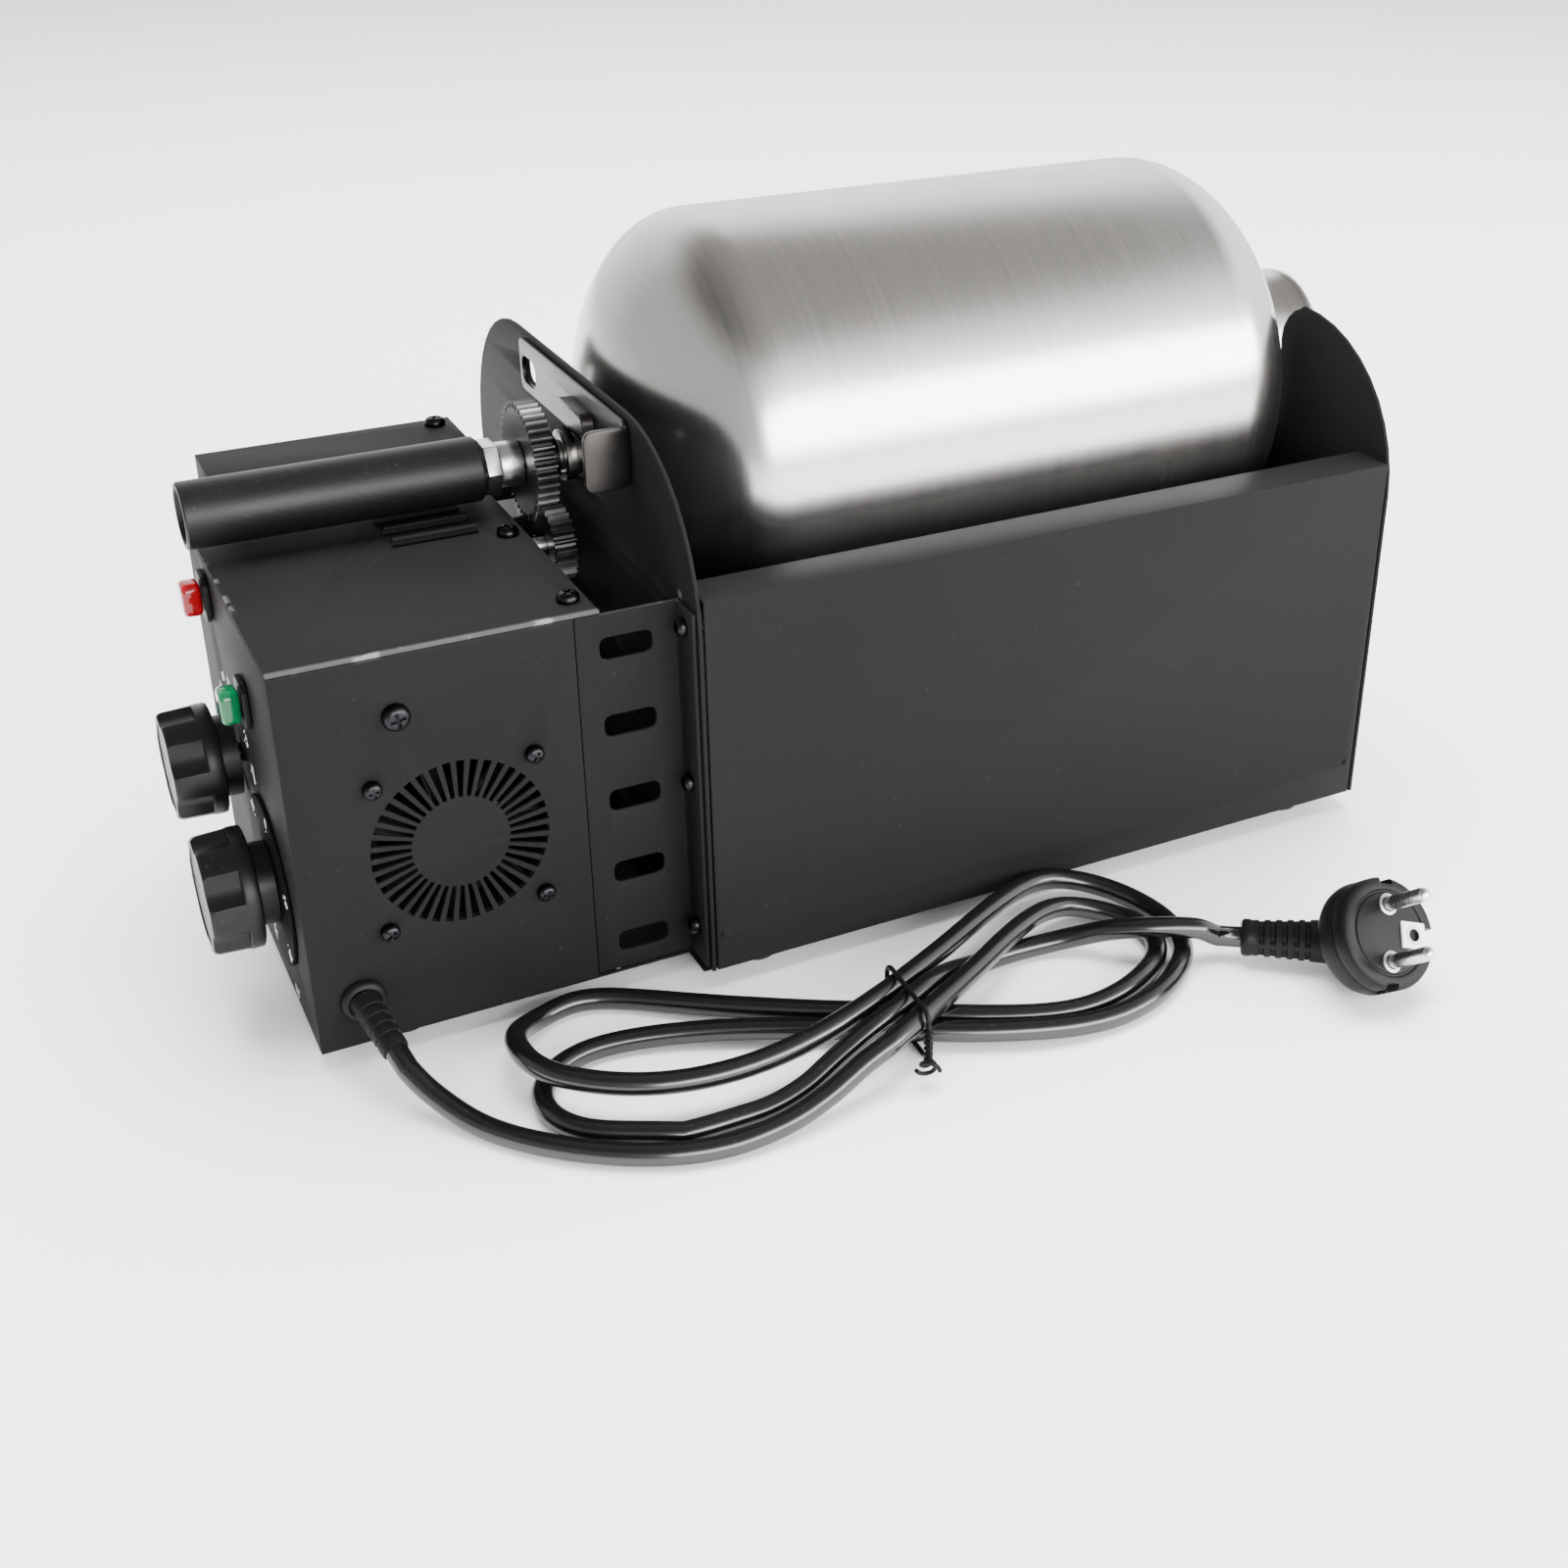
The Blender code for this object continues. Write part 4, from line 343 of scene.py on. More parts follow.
def moulding(name, colour, roughness, texture, scale=1400.0, specular=0.40):
    """Moulded plastic or rubber with a fine skin and a little dust."""
    base = tuple(colour)
    paint = Paint(name, base, roughness)
    skin = paint.noise(scale, detail=2.0)
    cloud = paint.noise(45.0, detail=4.0)
    speck = paint.noise(700.0, detail=1.0).above(0.73, 0.01)
    tone = paint.tones(cloud, base, 0.88, 1.15)
    paint.feed("Base Color", paint.mix(speck * 0.08, tone, (0.12, 0.12, 0.12)))
    paint.feed("Roughness", roughness - 0.05 + cloud * 0.12)
    paint.bump(skin, texture, 0.0002)
    paint.set(Specular_IOR_Level=specular)
    return paint.material


def lens(name, colour):
    """Clear tinted plastic over a pale holder."""
    base = tuple(colour)
    paint = Paint(name, base, 0.10)
    depth = paint.noise(260.0, detail=2.0)
    paint.feed("Base Color", paint.tones(depth, base, 0.45, 1.5))
    paint.feed("Roughness", 0.07 + depth * 0.08)
    paint.bump(depth, 0.06, 0.0003)
    paint.set(Coat_Weight=0.3, Coat_Roughness=0.04, Specular_IOR_Level=0.35)
    return paint.material


def plain(name, colour, roughness, metallic=0.0, scale=120.0):
    """A cast, fired or plated finish seen only in places."""
    base = tuple(colour)
    paint = Paint(name, base, roughness, metallic)
    cloud = paint.noise(scale, detail=4.0)
    paint.feed("Base Color", paint.tones(cloud, base, 0.75, 1.15))
    paint.feed("Roughness", roughness - 0.06 + cloud * 0.14)
    paint.bump(cloud, 0.08, 0.0004)
    return paint.material


MATERIALS = {}


def finish(name):
    """A finish by its name, made once."""
    makers = {
        "powder": powder_coat,
        "panel": lambda: powder_coat("panel_coat", 1.12, 0.42),
        "drum": drum_steel,
        "steel": bright_steel,
        "gear": gear_steel,
        "zinc": lambda: bright_steel("zinc_sheet", (0.42, 0.43, 0.44), 0.38),
        "handle": lambda: moulding("handle_coat", (0.0032, 0.0032, 0.0035), 0.44, 0.30, 1100.0, 0.30),
        "knob": lambda: moulding("knob_gloss", colours().moulding, 0.36, 0.06, specular=0.22),
        "dial": lambda: moulding("dial_matt", (0.0030, 0.0030, 0.0032), 0.70, 0.10, specular=0.05),
        "plastic": lambda: moulding("satin_moulding", colours().moulding, 0.44, 0.12, specular=0.14),
        "rubber": lambda: moulding("foot_rubber", (0.0140, 0.0140, 0.0140), 0.75, 0.25, 700.0),
        "sheath": lambda: moulding("lead_sheath", colours().sheath, 0.20, 0.03, 500.0, 0.70),
        "red": lambda: lens("red_lens", colours().red),
        "green": lambda: lens("green_lens", colours().green),
        "ceramic": lambda: plain("fired_ends", (0.70, 0.66, 0.58), 0.50),
        "latch": lambda: bright_steel("latch_steel", (0.045, 0.042, 0.040), 0.32),
        "dark_steel": lambda: bright_steel("dark_steel", (0.20, 0.19, 0.18), 0.28),
        "brass": lambda: plain("dull_brass", (0.56, 0.42, 0.20), 0.34, 1.0),
        "tin": lambda: plain("motor_tin", (0.40, 0.40, 0.41), 0.42, 1.0),
        "white": lambda: plain("white_moulding", (0.78, 0.78, 0.76), 0.38),
        "print": lambda: plain("white_print", (0.80, 0.80, 0.80), 0.55, 0.0, 900.0),
        "screw": lambda: plain("blackened_screw", (0.022, 0.022, 0.024), 0.30, 1.0, 500.0),
    }
    if name not in MATERIALS:
        MATERIALS[name] = makers[name]()
    return MATERIALS[name]


# ---------------------------------------------------------------- modelling helpers

def deselect():
    if bpy.context.object and bpy.context.object.mode != "OBJECT":
        bpy.ops.object.mode_set(mode="OBJECT")
    bpy.ops.object.select_all(action="DESELECT")


def activate(*objects):
    deselect()
    for obj in objects:
        obj.select_set(True)
    bpy.context.view_layer.objects.active = objects[0]


def named(name):
    """The piece that an operator has just made, under its name."""
    obj = bpy.context.object
    obj.name = obj.data.name = name
    return obj


def added(name, data):
    """A new object in the scene."""
    obj = bpy.data.objects.new(name, data)
    bpy.context.scene.collection.objects.link(obj)
    return obj


def smooth(obj, angle):
    activate(obj)
    bpy.ops.object.shade_smooth_by_angle(angle=math.radians(angle))


def settle(obj, matrix=None):
    """Moves an object by a matrix and writes its place into its mesh."""
    if matrix is not None:
        obj.matrix_world = matrix @ obj.matrix_world
    activate(obj)
    bpy.ops.object.transform_apply(location=True, rotation=True, scale=True)
    return obj


def apply_modifier(obj, kind, **settings):
    modifier = obj.modifiers.new("shaping", kind)
    for key, value in settings.items():
        setattr(modifier, key, value)
    activate(obj)
    bpy.ops.object.modifier_apply(modifier=modifier.name)


def bevel(obj, width, segments, angle):
    apply_modifier(obj, "BEVEL", width=width, segments=segments, limit_method="ANGLE",
                   angle_limit=math.radians(angle), use_clamp_overlap=True, miter_outer="MITER_SHARP")


def carve(obj, tools, operation="DIFFERENCE"):
    """Cuts or joins other objects, which are then removed."""
    for tool in tools:
        apply_modifier(obj, "BOOLEAN", object=tool, operation=operation, solver="EXACT")
        bpy.data.objects.remove(tool, do_unlink=True)


def lathe(name, profile, segments, ring=False):
    """A turned piece about Z: a circle drawn out and widened from one (radius, height) to the next.

    A ring's profile is closed on itself; any other piece gets flat caps.
    """
    deselect()
    radius, height = profile[0]
    bpy.ops.mesh.primitive_circle_add(vertices=segments, radius=radius, fill_type="NOTHING", location=(0, 0, height))
    obj = named(name)
    bpy.ops.object.mode_set(mode="EDIT")
    bpy.ops.mesh.select_all(action="SELECT")
    for (before, low), (after, high) in zip(profile, profile[1:]):
        bpy.ops.mesh.extrude_region_move(TRANSFORM_OT_translate={"value": (0, 0, high - low)})
        if abs(after - before) > 1e-9:
            share = after / before
            bpy.ops.transform.resize(value=(share, share, 1), center_override=(0, 0, high))
    bpy.ops.mesh.select_all(action="DESELECT")
    bpy.ops.mesh.select_non_manifold(extend=False, use_wire=False, use_multi_face=False, use_non_contiguous=False,
                                     use_verts=False)
    if ring:
        bpy.ops.mesh.bridge_edge_loops()
    else:
        bpy.ops.mesh.fill_holes(sides=0)
    bpy.ops.mesh.select_all(action="SELECT")
    bpy.ops.mesh.remove_doubles(threshold=0.000005)
    bpy.ops.mesh.normals_make_consistent(inside=False)
    bpy.ops.object.mode_set(mode="OBJECT")
    return obj


def turn_to(direction):
    """The turn that takes Z to a direction."""
    return Vector((0, 0, 1)).rotation_difference(Vector(direction).normalized()).to_matrix().to_4x4()


def along_x(start):
    """Stands a piece turned about Z on the drum's axis, with its zero at a bench X."""
    return Matrix.Translation(at(start, *AXIS)) @ Matrix.Rotation(math.pi / 2, 4, "Y")


def outward(*place):
    """Stands a piece turned about Z on the control face, at a bench place."""
    return Matrix.Translation(at(*place)) @ Matrix.Rotation(-math.pi / 2, 4, "Y")


def cylinder(name, start, end, radius, vertices, end_radius=None):
    deselect()
    start, end = Vector(start), Vector(end)
    bpy.ops.mesh.primitive_cone_add(vertices=vertices, radius1=radius,
                                    radius2=radius if end_radius is None else end_radius,
                                    depth=(end - start).length)
    return settle(named(name), Matrix.Translation((start + end) / 2) @ turn_to(end - start))


def block(name, low, high):
    deselect()
    low, high = Vector(low), Vector(high)
    bpy.ops.mesh.primitive_cube_add(size=1, location=(low + high) / 2)
    obj = named(name)
    obj.scale = high - low
    return settle(obj)


def twin(obj, name, matrix=None):
    """A copy with its own mesh."""
    copy = obj.copy()
    copy.data = obj.data.copy()
    copy.name = copy.data.name = name
    bpy.context.scene.collection.objects.link(copy)
    return settle(copy, matrix)


def joined(name, objects):
    activate(*objects)
    bpy.ops.object.join()
    return named(name)


def fit(obj, material, body="chassis", slot=None, replaces=()):
    """Gives a finished piece its material, its body and the nodes that it stands for."""
    obj.data.materials.clear()
    obj.data.materials.append(finish(material))
    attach(obj, body)
    if replaces:
        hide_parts(*replaces)
    return obj


def complete(obj, angle, place, *fitting, **more):
    """Shades a modelled piece, sets it in its place and fits it."""
    smooth(obj, angle)
    settle(obj, place)
    return fit(obj, *fitting, **more)


def arc(centre, radius, start, end, steps):
    angles = [start + (end - start) * i / steps for i in range(steps + 1)]
    return [(centre[0] + radius * math.cos(a), centre[1] + radius * math.sin(a)) for a in angles]


# ---------------------------------------------------------------- the lead

# The figure-eight hank: its middle and heading, its loops and the points in each, the waist's width, the share of a
# loop over which it widens, the air between its layers and the straight length at each end
HANK_AT, HANK_TURN = Vector((0.1710, -0.0660, 0)), math.radians(-2.5)
LOOPS, LOOP_POINTS = 3.70, 72
WAIST, WIDENING, LAYER_GAP, STRAIGHT = 0.0580, 0.34, 0.0008, 0.0080
# Each loop's reach, width and heading, and the lead's place across the waist at each pass
REACHES = (0.1000, 0.1230, 0.1105, 0.1170)
WIDTHS = (0.0530, 0.0620, 0.0580, 0.0490)
LOOP_ANGLES = (math.radians(12), math.radians(-13), math.radians(12), math.radians(-7))
OFFSETS = (-0.0098, 0.0052, 0.0092, -0.0052, 0.0000)
# (turn, layer) stops: on the floor, over the tie's wire, and over another lead
LEVELS = ((0, 2), (0.12, 2), (0.45, 0), (0.80, 0), (0.93, 1), (1.07, 1), (1.25, 0), (1.36, 0),
          (1.56, 2), (2.10, 2), (2.50, 0), (2.80, 0), (2.93, 1), (3.07, 1), (3.30, 0), (4, 0))
# Bench X and Y and the rise over the floor, from the gland to the hank and from the hank to the plug
LEAD_ROUTE = (
    (0.0255, -0.0375, 0.0045), (0.0345, -0.0510, 0.0002), (0.0460, -0.0655, 0.0), (0.0620, -0.0790, 0.0),
    (0.0800, -0.0890, 0.0), (0.0980, -0.0935, 0.0), (0.1160, -0.0930, 0.0010), (0.1310, -0.0900, 0.0035),
    (0.1460, -0.0860, 0.0080),
)
TAIL_ROUTE = (
    (0.1040, -0.0832, 0.0), (0.1160, -0.0830, 0.0002), (0.1280, -0.0812, 0.0022), (0.1400, -0.0778, 0.0060),
    (0.1560, -0.0725, 0.0096), (0.1710, -0.0660, 0.0098), (0.1835, -0.0598, 0.0095), (0.1955, -0.0530, 0.0055),
    (0.2070, -0.0478, 0.0012), (0.2200, -0.0455, 0.0), (0.2340, -0.0465, 0.0003), (0.2450, -0.0512, 0.0030),
    (0.2540, -0.0590, 0.0075), (0.2650, -0.0665, 0.0095), (0.2780, -0.0722, 0.0086),
)
# The air kept between pieces that nearly touch, and the pitch of the ribs on both sleeves
GAP = 0.0003
RIB_PITCH = 0.0038
GLAND = Vector((0.0148, -0.0003, 0.0165))
GLAND_RADIUS, GLAND_FLANGE, GLAND_TAIL = 0.0072, 0.0028, 0.0200
GLAND_WAY = heading(math.radians(-78), math.radians(-20))
PLUG_AT = Vector((0.3209, -0.1115, 0.0))
PLUG_TURN, PLUG_TILT, PLUG_ROLL = math.radians(-83), math.radians(39), math.radians(24)
PLUG_THICKNESS = 0.0150
SLEEVE_START = Vector((0.2920, -0.0790, FLOOR + 0.0080 + 2 * GAP))
SLEEVE_LENGTH, SLEEVE_RISE = 0.0400, 0.0020
SLEEVE_END = SLEEVE_START + heading(math.radians(-37)) * SLEEVE_LENGTH + Vector((0, 0, SLEEVE_RISE))
# In the plug's own axes: how far the pins stand from the middle, and the earth socket's place
PIN_Y, SOCKET_X = 0.0095, 0.0094


def ease(share):
    share = min(max(share, 0), 1)
    return share * share * (3 - 2 * share)


def lead_low():
    return FLOOR + sizes().cord_radius + GAP / 3


def hank_level(turn):
    """The middle of the lead over its place on the floor."""
    over_tie = 2 * sizes().tie_radius + GAP
    levels = (0, over_tie, over_tie + 2 * sizes().cord_radius + LAYER_GAP)
    for (start, before), (end, after) in zip(LEVELS, LEVELS[1:]):
        if turn <= end:
            part = ease((turn - start) / (end - start))
            return levels[before] + (levels[after] - levels[before]) * part
    return levels[after]


def hank_point(turn):
    """A point of the figure-eight hank, whose waist it passes at each whole turn."""
    loop = min(int(turn), len(REACHES) - 1)
    share = turn - loop
    swing = ease(min(share, 1 - share) / WIDENING)
    side = 1 if loop % 2 == 0 else -1
    width = WAIST + (WIDTHS[loop] - WAIST) * swing
    offset = OFFSETS[loop] + (OFFSETS[loop + 1] - OFFSETS[loop]) * ease(share)
    along = side * REACHES[loop] * math.sin(math.pi * share)
    across = width / 2 * math.sin(2 * math.pi * share) + offset
    angle = HANK_TURN + LOOP_ANGLES[loop] * swing
    return (HANK_AT + heading(angle) * along + heading(angle + math.pi / 2) * across
            + Vector((0, 0, lead_low() + hank_level(turn))))


def hank_points():
    count = round(LOOPS * LOOP_POINTS)
    return [hank_point(LOOPS * i / count) for i in range(count + 1)]


def smooth_path(route, steps=8):
    """A smooth curve through a route whose first and last legs stay straight."""
    fine = []
    for p0, p1, p2, p3 in zip(route, route[1:], route[2:], route[3:]):
        for i in range(steps):
            t = i / steps
            fine.append((2 * p1 + (p2 - p0) * t + (2 * p0 - 5 * p1 + 4 * p2 - p3) * t * t
                         + (3 * p1 - p0 - 3 * p2 + p3) * t ** 3) / 2)
    return [route[0], *fine, route[-2], route[-1]]


def gland_tip():
    return GLAND + Vector((0, -GLAND_FLANGE, 0)) + GLAND_WAY * GLAND_TAIL


def lead_points():
    """The whole lead from the gland's tip to the plug's sleeve, in bench coordinates."""
    hank = hank_points()
    reach = 2 * sizes().cord_radius
    start_way = (hank[1] - hank[0]).normalized()
    end_way = (hank[-1] - hank[-2]).normalized()
    start = hank[0] - start_way * STRAIGHT
    end = hank[-1] + end_way * STRAIGHT
    tip = gland_tip()
    first = [tip, tip + GLAND_WAY * (GAP + reach)]
    first += [Vector((x, y, lead_low() + rise)) for x, y, rise in LEAD_ROUTE]
    first += [start - start_way * (GAP + reach), start]
    way = (SLEEVE_END - SLEEVE_START).normalized()
    last = [end, end + end_way * (GAP + reach)]
    last += [Vector((x, y, lead_low() + rise)) for x, y, rise in TAIL_ROUTE]
    last += [SLEEVE_START - way * (GAP + reach), SLEEVE_START]
    return smooth_path(first) + hank + smooth_path(last)


def tube(name, points, radius, resolution=5, closed=False):
    curve = bpy.data.curves.new(name, "CURVE")
    curve.dimensions = "3D"
    curve.bevel_depth = radius
    curve.bevel_resolution = resolution
    curve.use_fill_caps = True
    spline = curve.splines.new("POLY")
    spline.points.add(len(points) - 1)
    for point, place in zip(spline.points, points):
        point.co = (*place, 1)
    spline.use_cyclic_u = closed
    return added(name, curve)


def plug_frame():
    """The matrix that takes the plug's own axes, with Z out of its face, to its place on the floor."""
    out = heading(PLUG_TURN, PLUG_TILT)
    level = heading(PLUG_TURN + math.pi / 2)
    steep = out.cross(level)
    side = level * math.cos(PLUG_ROLL) - steep * math.sin(PLUG_ROLL)
    up = out.cross(side)
    half = PLUG_THICKNESS / 2
    rise = sizes().plug_radius * math.cos(PLUG_TILT) + half * math.sin(PLUG_TILT) + GAP / 3
    centre = BENCH + Vector((PLUG_AT.x, PLUG_AT.y, FLOOR + rise))
    return Matrix.Translation(centre) @ Matrix((side, up, out)).transposed().to_4x4()


# ---------------------------------------------------------------- finished copies of the frame's solids

def body_with(node):
    for body, nodes in frame["record"]["behaviour"]["bodies"].items():
        if node in nodes:
            return body
    raise ValueError("no body holds " + node)


def slot_of(node):
    return next(s["material_slot"] for s in frame["record"]["subparts"] if s["node"] == node)


def dress(node, material, width=None, segments=2):
    """A copy of a sheet or machined piece with its triangles cleared and its sharp edges rounded."""
    copy = twin(frame["nodes"][node], node + "_dressed")
    activate(copy)
    bpy.ops.object.mode_set(mode="EDIT")
    bpy.ops.mesh.select_mode(type="VERT")
    bpy.ops.mesh.select_all(action="SELECT")
    bpy.ops.mesh.remove_doubles(threshold=0.000012)
    bpy.ops.mesh.dissolve_limited(angle_limit=math.radians(0.6))
    bpy.ops.object.mode_set(mode="OBJECT")
    bevel(copy, width or sizes().sheet_bevel, segments, 32)
    smooth(copy, 34)
    return fit(copy, material, body_with(node), slot_of(node), (node,))


def refinish(node, material):
    """A hidden or plain solid keeps its shape and gets a better finish."""
    obj = frame["nodes"][node]
    for slot in obj.material_slots:
        slot.material = finish(material)


# ---------------------------------------------------------------- operators

class ROASTER_OT_camera(bpy.types.Operator):
    """Places the camera over the front left corner"""
    bl_idname = "roaster.camera"
    bl_label = "Camera"

    def execute(self, context):
        data = bpy.data.cameras.new("camera")
        data.lens = CAMERA_LENS
        data.sensor_width = 36.0
        data.shift_x, data.shift_y = CAMERA_SHIFT
        camera = added("camera", data)
        camera.location = CAMERA_AT
        camera.rotation_euler = heading(CAMERA_TURN, CAMERA_TILT).to_track_quat("-Z", "Y").to_euler()
        context.scene.camera = camera
        return {"FINISHED"}


class ROASTER_OT_plug(bpy.types.Operator):
    """Models the round mains plug with its pins, earth contacts and ribbed sleeve"""
    bl_idname = "roaster.plug"
    bl_label = "Plug"

    def execute(self, context):
        face = PLUG_THICKNESS / 2
        self.body(face)
        for side, node in ((-1, "plug_pin_lower"), (1, "plug_pin_upper")):
            shift = (0, side * PIN_Y, 0)
            pin = lathe(node + "_dressed", [(0.0023, face + GAP), (0.0024, face + 0.0006), (0.0024, face + 0.0172),
                                            (0.0021, face + 0.0184), (0.0013, face + 0.0190),
                                            (0.0003, face + 0.0192)], 40)
            self.add(pin, "steel", "bright_steel", (node,), shift, 40)
            collar = lathe(node + "_collar", [(0.0037, face - 0.0002), (0.0036, face + 0.0004),
                                              (0.0026, face + 0.0006), (0.0026, face - 0.0002)], 40, ring=True)
            self.add(collar, "tin", "bright_steel", (), shift, 40)
        insert = block("plug_insert_dressed", (0.0047, -0.0044, face - 0.0003), (0.0142, 0.0044, face + 0.0008))
        carve(insert, [cylinder("socket", (SOCKET_X, 0, face - 0.0030), (SOCKET_X, 0, face + 0.0030), 0.0026, 32)])
        bevel(insert, 0.00035, 2, 40)
        self.add(insert, "white", "insert_white", ("plug_earth_insert",))
        clip = block("plug_clip", (-0.0166, -0.0022, -0.0034), (-0.0154, 0.0022, face - 0.0004))
        bevel(clip, 0.0003, 2, 40)
        self.add(clip, "white", "insert_white", angle=None)
        rim = lathe("plug_socket_rim", [(0.0030, face + 0.0007), (0.0029, face + 0.0010), (0.0021, face + 0.0010),
                                        (0.0021, face + 0.0001)], 40, ring=True)
        self.add(rim, "tin", "bright_steel", (), (SOCKET_X, 0, 0), 40)
        self.sleeve()
        return {"FINISHED"}

    def add(self, obj, material, slot, replaces=(), shift=(0, 0, 0), angle=38):
        """Sets a piece modelled in the plug's own axes in its place."""
        if angle:
            smooth(obj, angle)
        settle(obj, plug_frame() @ Matrix.Translation(shift))
        fit(obj, material, slot=slot, replaces=replaces)

    def body(self, face):
        """The round body with its groove, grip notches and guide slots, and the cone behind it."""
        r = sizes().plug_radius
        body = lathe("plug_body_dressed", [
            (0.0088, -0.0155), (0.0106, -0.0151), (0.0118, -0.0142), (0.0163, -0.0084), (0.0181, -0.0064),
            (r, -0.0046), (r, 0.0004), (r - 0.0008, 0.0008), (r - 0.0008, 0.0016), (r, 0.0020),
            (r, face - 0.0012), (r - 0.0004, face - 0.0004), (r - 0.0012, face), (0.0146, face),
            (0.0142, face - 0.0005), (0.0136, face - 0.0005), (0.0132, face), (0.0004, face)], 96)
        carve(body, [block("notch", (side * 0.0153 - 0.0024, -0.0031, -0.0040),
                           (side * 0.0203 + 0.0024, 0.0031, 0.0100)) for side in (-1, 1)]
              + [block("guide", (-0.0024, side * 0.0178 - 0.0014, -0.0030),
                       (0.0024, side * 0.0178 + 0.0014, 0.0100)) for side in (-1, 1)])
        bevel(body, 0.00025, 2, 40)
        self.add(body, "plastic", "plastic_black", ("plug_body",))

    def sleeve(self):
        """The tapered sleeve behind the body, with a rim at its start, five ribs and four ridges along them."""
        way = SLEEVE_END - SLEEVE_START
        length = way.length
        small, large, rib, ridge = 0.0058, 0.0080, 0.0012, 0.0014

        def radius(height):
            return small + (large - small) * height / length
        profile = [(0.0046, 0.0), (0.0058, 0.0004), (0.0063, 0.0012), (0.0063, 0.0030), (radius(0.0036), 0.0036)]
        for i in range(5):
            start = 0.0060 + i * RIB_PITCH
            profile += [(radius(start), start), (radius(start) - rib, start + 0.0003),
                        (radius(start) - rib, start + 0.0016), (radius(start + 0.0019), start + 0.0019)]
        profile += [(radius(0.0270), 0.0270), (large, length - 0.0010), (large - 0.0010, length)]
        sleeve = lathe("plug_sleeve", profile, 48)
        ridges = []
        for degrees in (45, 135, 225, 315):
            low = heading(math.radians(degrees))
            ridges.append(cylinder("ridge", *(low * (radius(height) - ridge) + Vector((0, 0, height))
                                              for height in (0.0040, 0.0270)), ridge, 16))
        return complete(joined("plug_sleeve", [sleeve] + ridges), 38,
                        Matrix.Translation(BENCH + SLEEVE_START) @ turn_to(way), "plastic", slot="plastic_black")


class ROASTER_OT_lead(bpy.types.Operator):
    """Lays the mains lead in its tied figure-eight hank, with its gland and wire tie"""
    bl_idname = "roaster.lead"
    bl_label = "Mains lead"

    def execute(self, context):
        points = [BENCH + p for p in lead_points()]
        lead = tube("mains_lead", points, sizes().cord_radius)
        fit(lead, "sheath", slot="cord_black", replaces=("cord_lead", "cord_hank", "cord_tail"))
        length = sum((b - a).length for a, b in zip(points, points[1:]))
        self.gland()
        tie = self.tie()
        return {"FINISHED"}

    def gland(self):
        """The round flange on the box and its short ribbed sleeve."""
        front = GLAND + Vector((0, -GLAND_FLANGE, 0))
        r, depth = GLAND_RADIUS, GLAND_FLANGE
        flange = lathe("gland_flange", [
            (r - 0.0004, 0.0), (r, 0.0005), (r - 0.0002, 0.0017), (r - 0.0010, depth - 0.0003), (r - 0.0019, depth),
            (r - 0.0027, depth - 0.0006), (0.0030, depth - 0.0008), (0.0004, depth - 0.0008)], 64)
        settle(flange, Matrix.Translation(BENCH + GLAND) @ turn_to((0, -1, 0)))
        sleeve_profile = [(0.0047, -0.0014), (0.0047, 0.0020)]
        for i in range(4):
            start = 0.0032 + i * RIB_PITCH
            radius = 0.0047 - 0.0005 * start / GLAND_TAIL
            sleeve_profile += [(radius, start), (radius - 0.0005, start + 0.0003), (radius - 0.0005, start + 0.0014),
                               (radius, start + 0.0017)]
        sleeve_profile += [(0.00425, GLAND_TAIL - 0.0006), (0.0040, GLAND_TAIL)]
        sleeve = lathe("gland_sleeve", sleeve_profile, 48)
        settle(sleeve, Matrix.Translation(BENCH + front) @ turn_to(GLAND_WAY))
        neck = cylinder("gland_neck", BENCH + GLAND + Vector((0, 0.0002, 0)), BENCH + GLAND + Vector((0, 0.0018, 0)),
                        r - 0.0018, 48)
        gland = joined("gland_dressed", [flange, sleeve, neck])
        smooth(gland, 40)
        fit(gland, "plastic", slot="rubber_black", replaces=("cord_gland",))

    def tie(self):
        """A loop of plastic-coated wire round the waist, its ends twisted together."""
        wire = sizes().tie_radius
        half = max(OFFSETS) + sizes().cord_radius * 1.15 + 0.0012 + wire
        low = FLOOR + wire + GAP / 3
        high = lead_low() + hank_level(0) + sizes().cord_radius + GAP + wire
        corner = sizes().cord_radius
        quarter = math.pi / 2
        outline = []
        for a, z, start in ((half - corner, low + corner, -quarter), (half - corner, high - corner, 0),
                            (corner - half, high - corner, quarter), (corner - half, low + corner, 2 * quarter)):
            outline += arc((a, z), corner, start, start + quarter, 8)
        along = heading(HANK_TURN)
        across = Vector((-along.y, along.x, 0))
        middle = BENCH + HANK_AT
        loop = tube("tie_loop", [middle + across * a + Vector((0, 0, z)) for a, z in outline], wire, 4, closed=True)
        base = middle - across * (half - 0.0002) + Vector((0, 0, (low + high) / 2 + 0.0020))
        way = (-across * 0.82 - along * 0.40 - Vector((0, 0, 0.34))).normalized()
        side = way.cross(Vector((0, 0, 1))).normalized()
        rise = side.cross(way)
        strands = []
        steps, turns, long, flare = 48, 3.5, 0.0140, 0.72
        for phase in (0.0, math.pi):
            points = []
            for i in range(steps + 1):
                share = i / steps
                turn = phase + share * turns * 2 * math.pi
                spread = wire * 1.04 + max(0.0, share - flare) * 0.010
                points.append(base + way * (long * share) + side * spread * math.cos(turn)
                              + rise * spread * math.sin(turn))
            strands.append(tube("tie_strand", points, wire * 0.92, 3))
        activate(loop, *strands)
        bpy.ops.object.convert(target="MESH")
        tie = joined("wire_tie", [loop] + strands)
        smooth(tie, 45)
        return fit(tie, "plastic", slot="plastic_black", replaces=("cord_tie",))


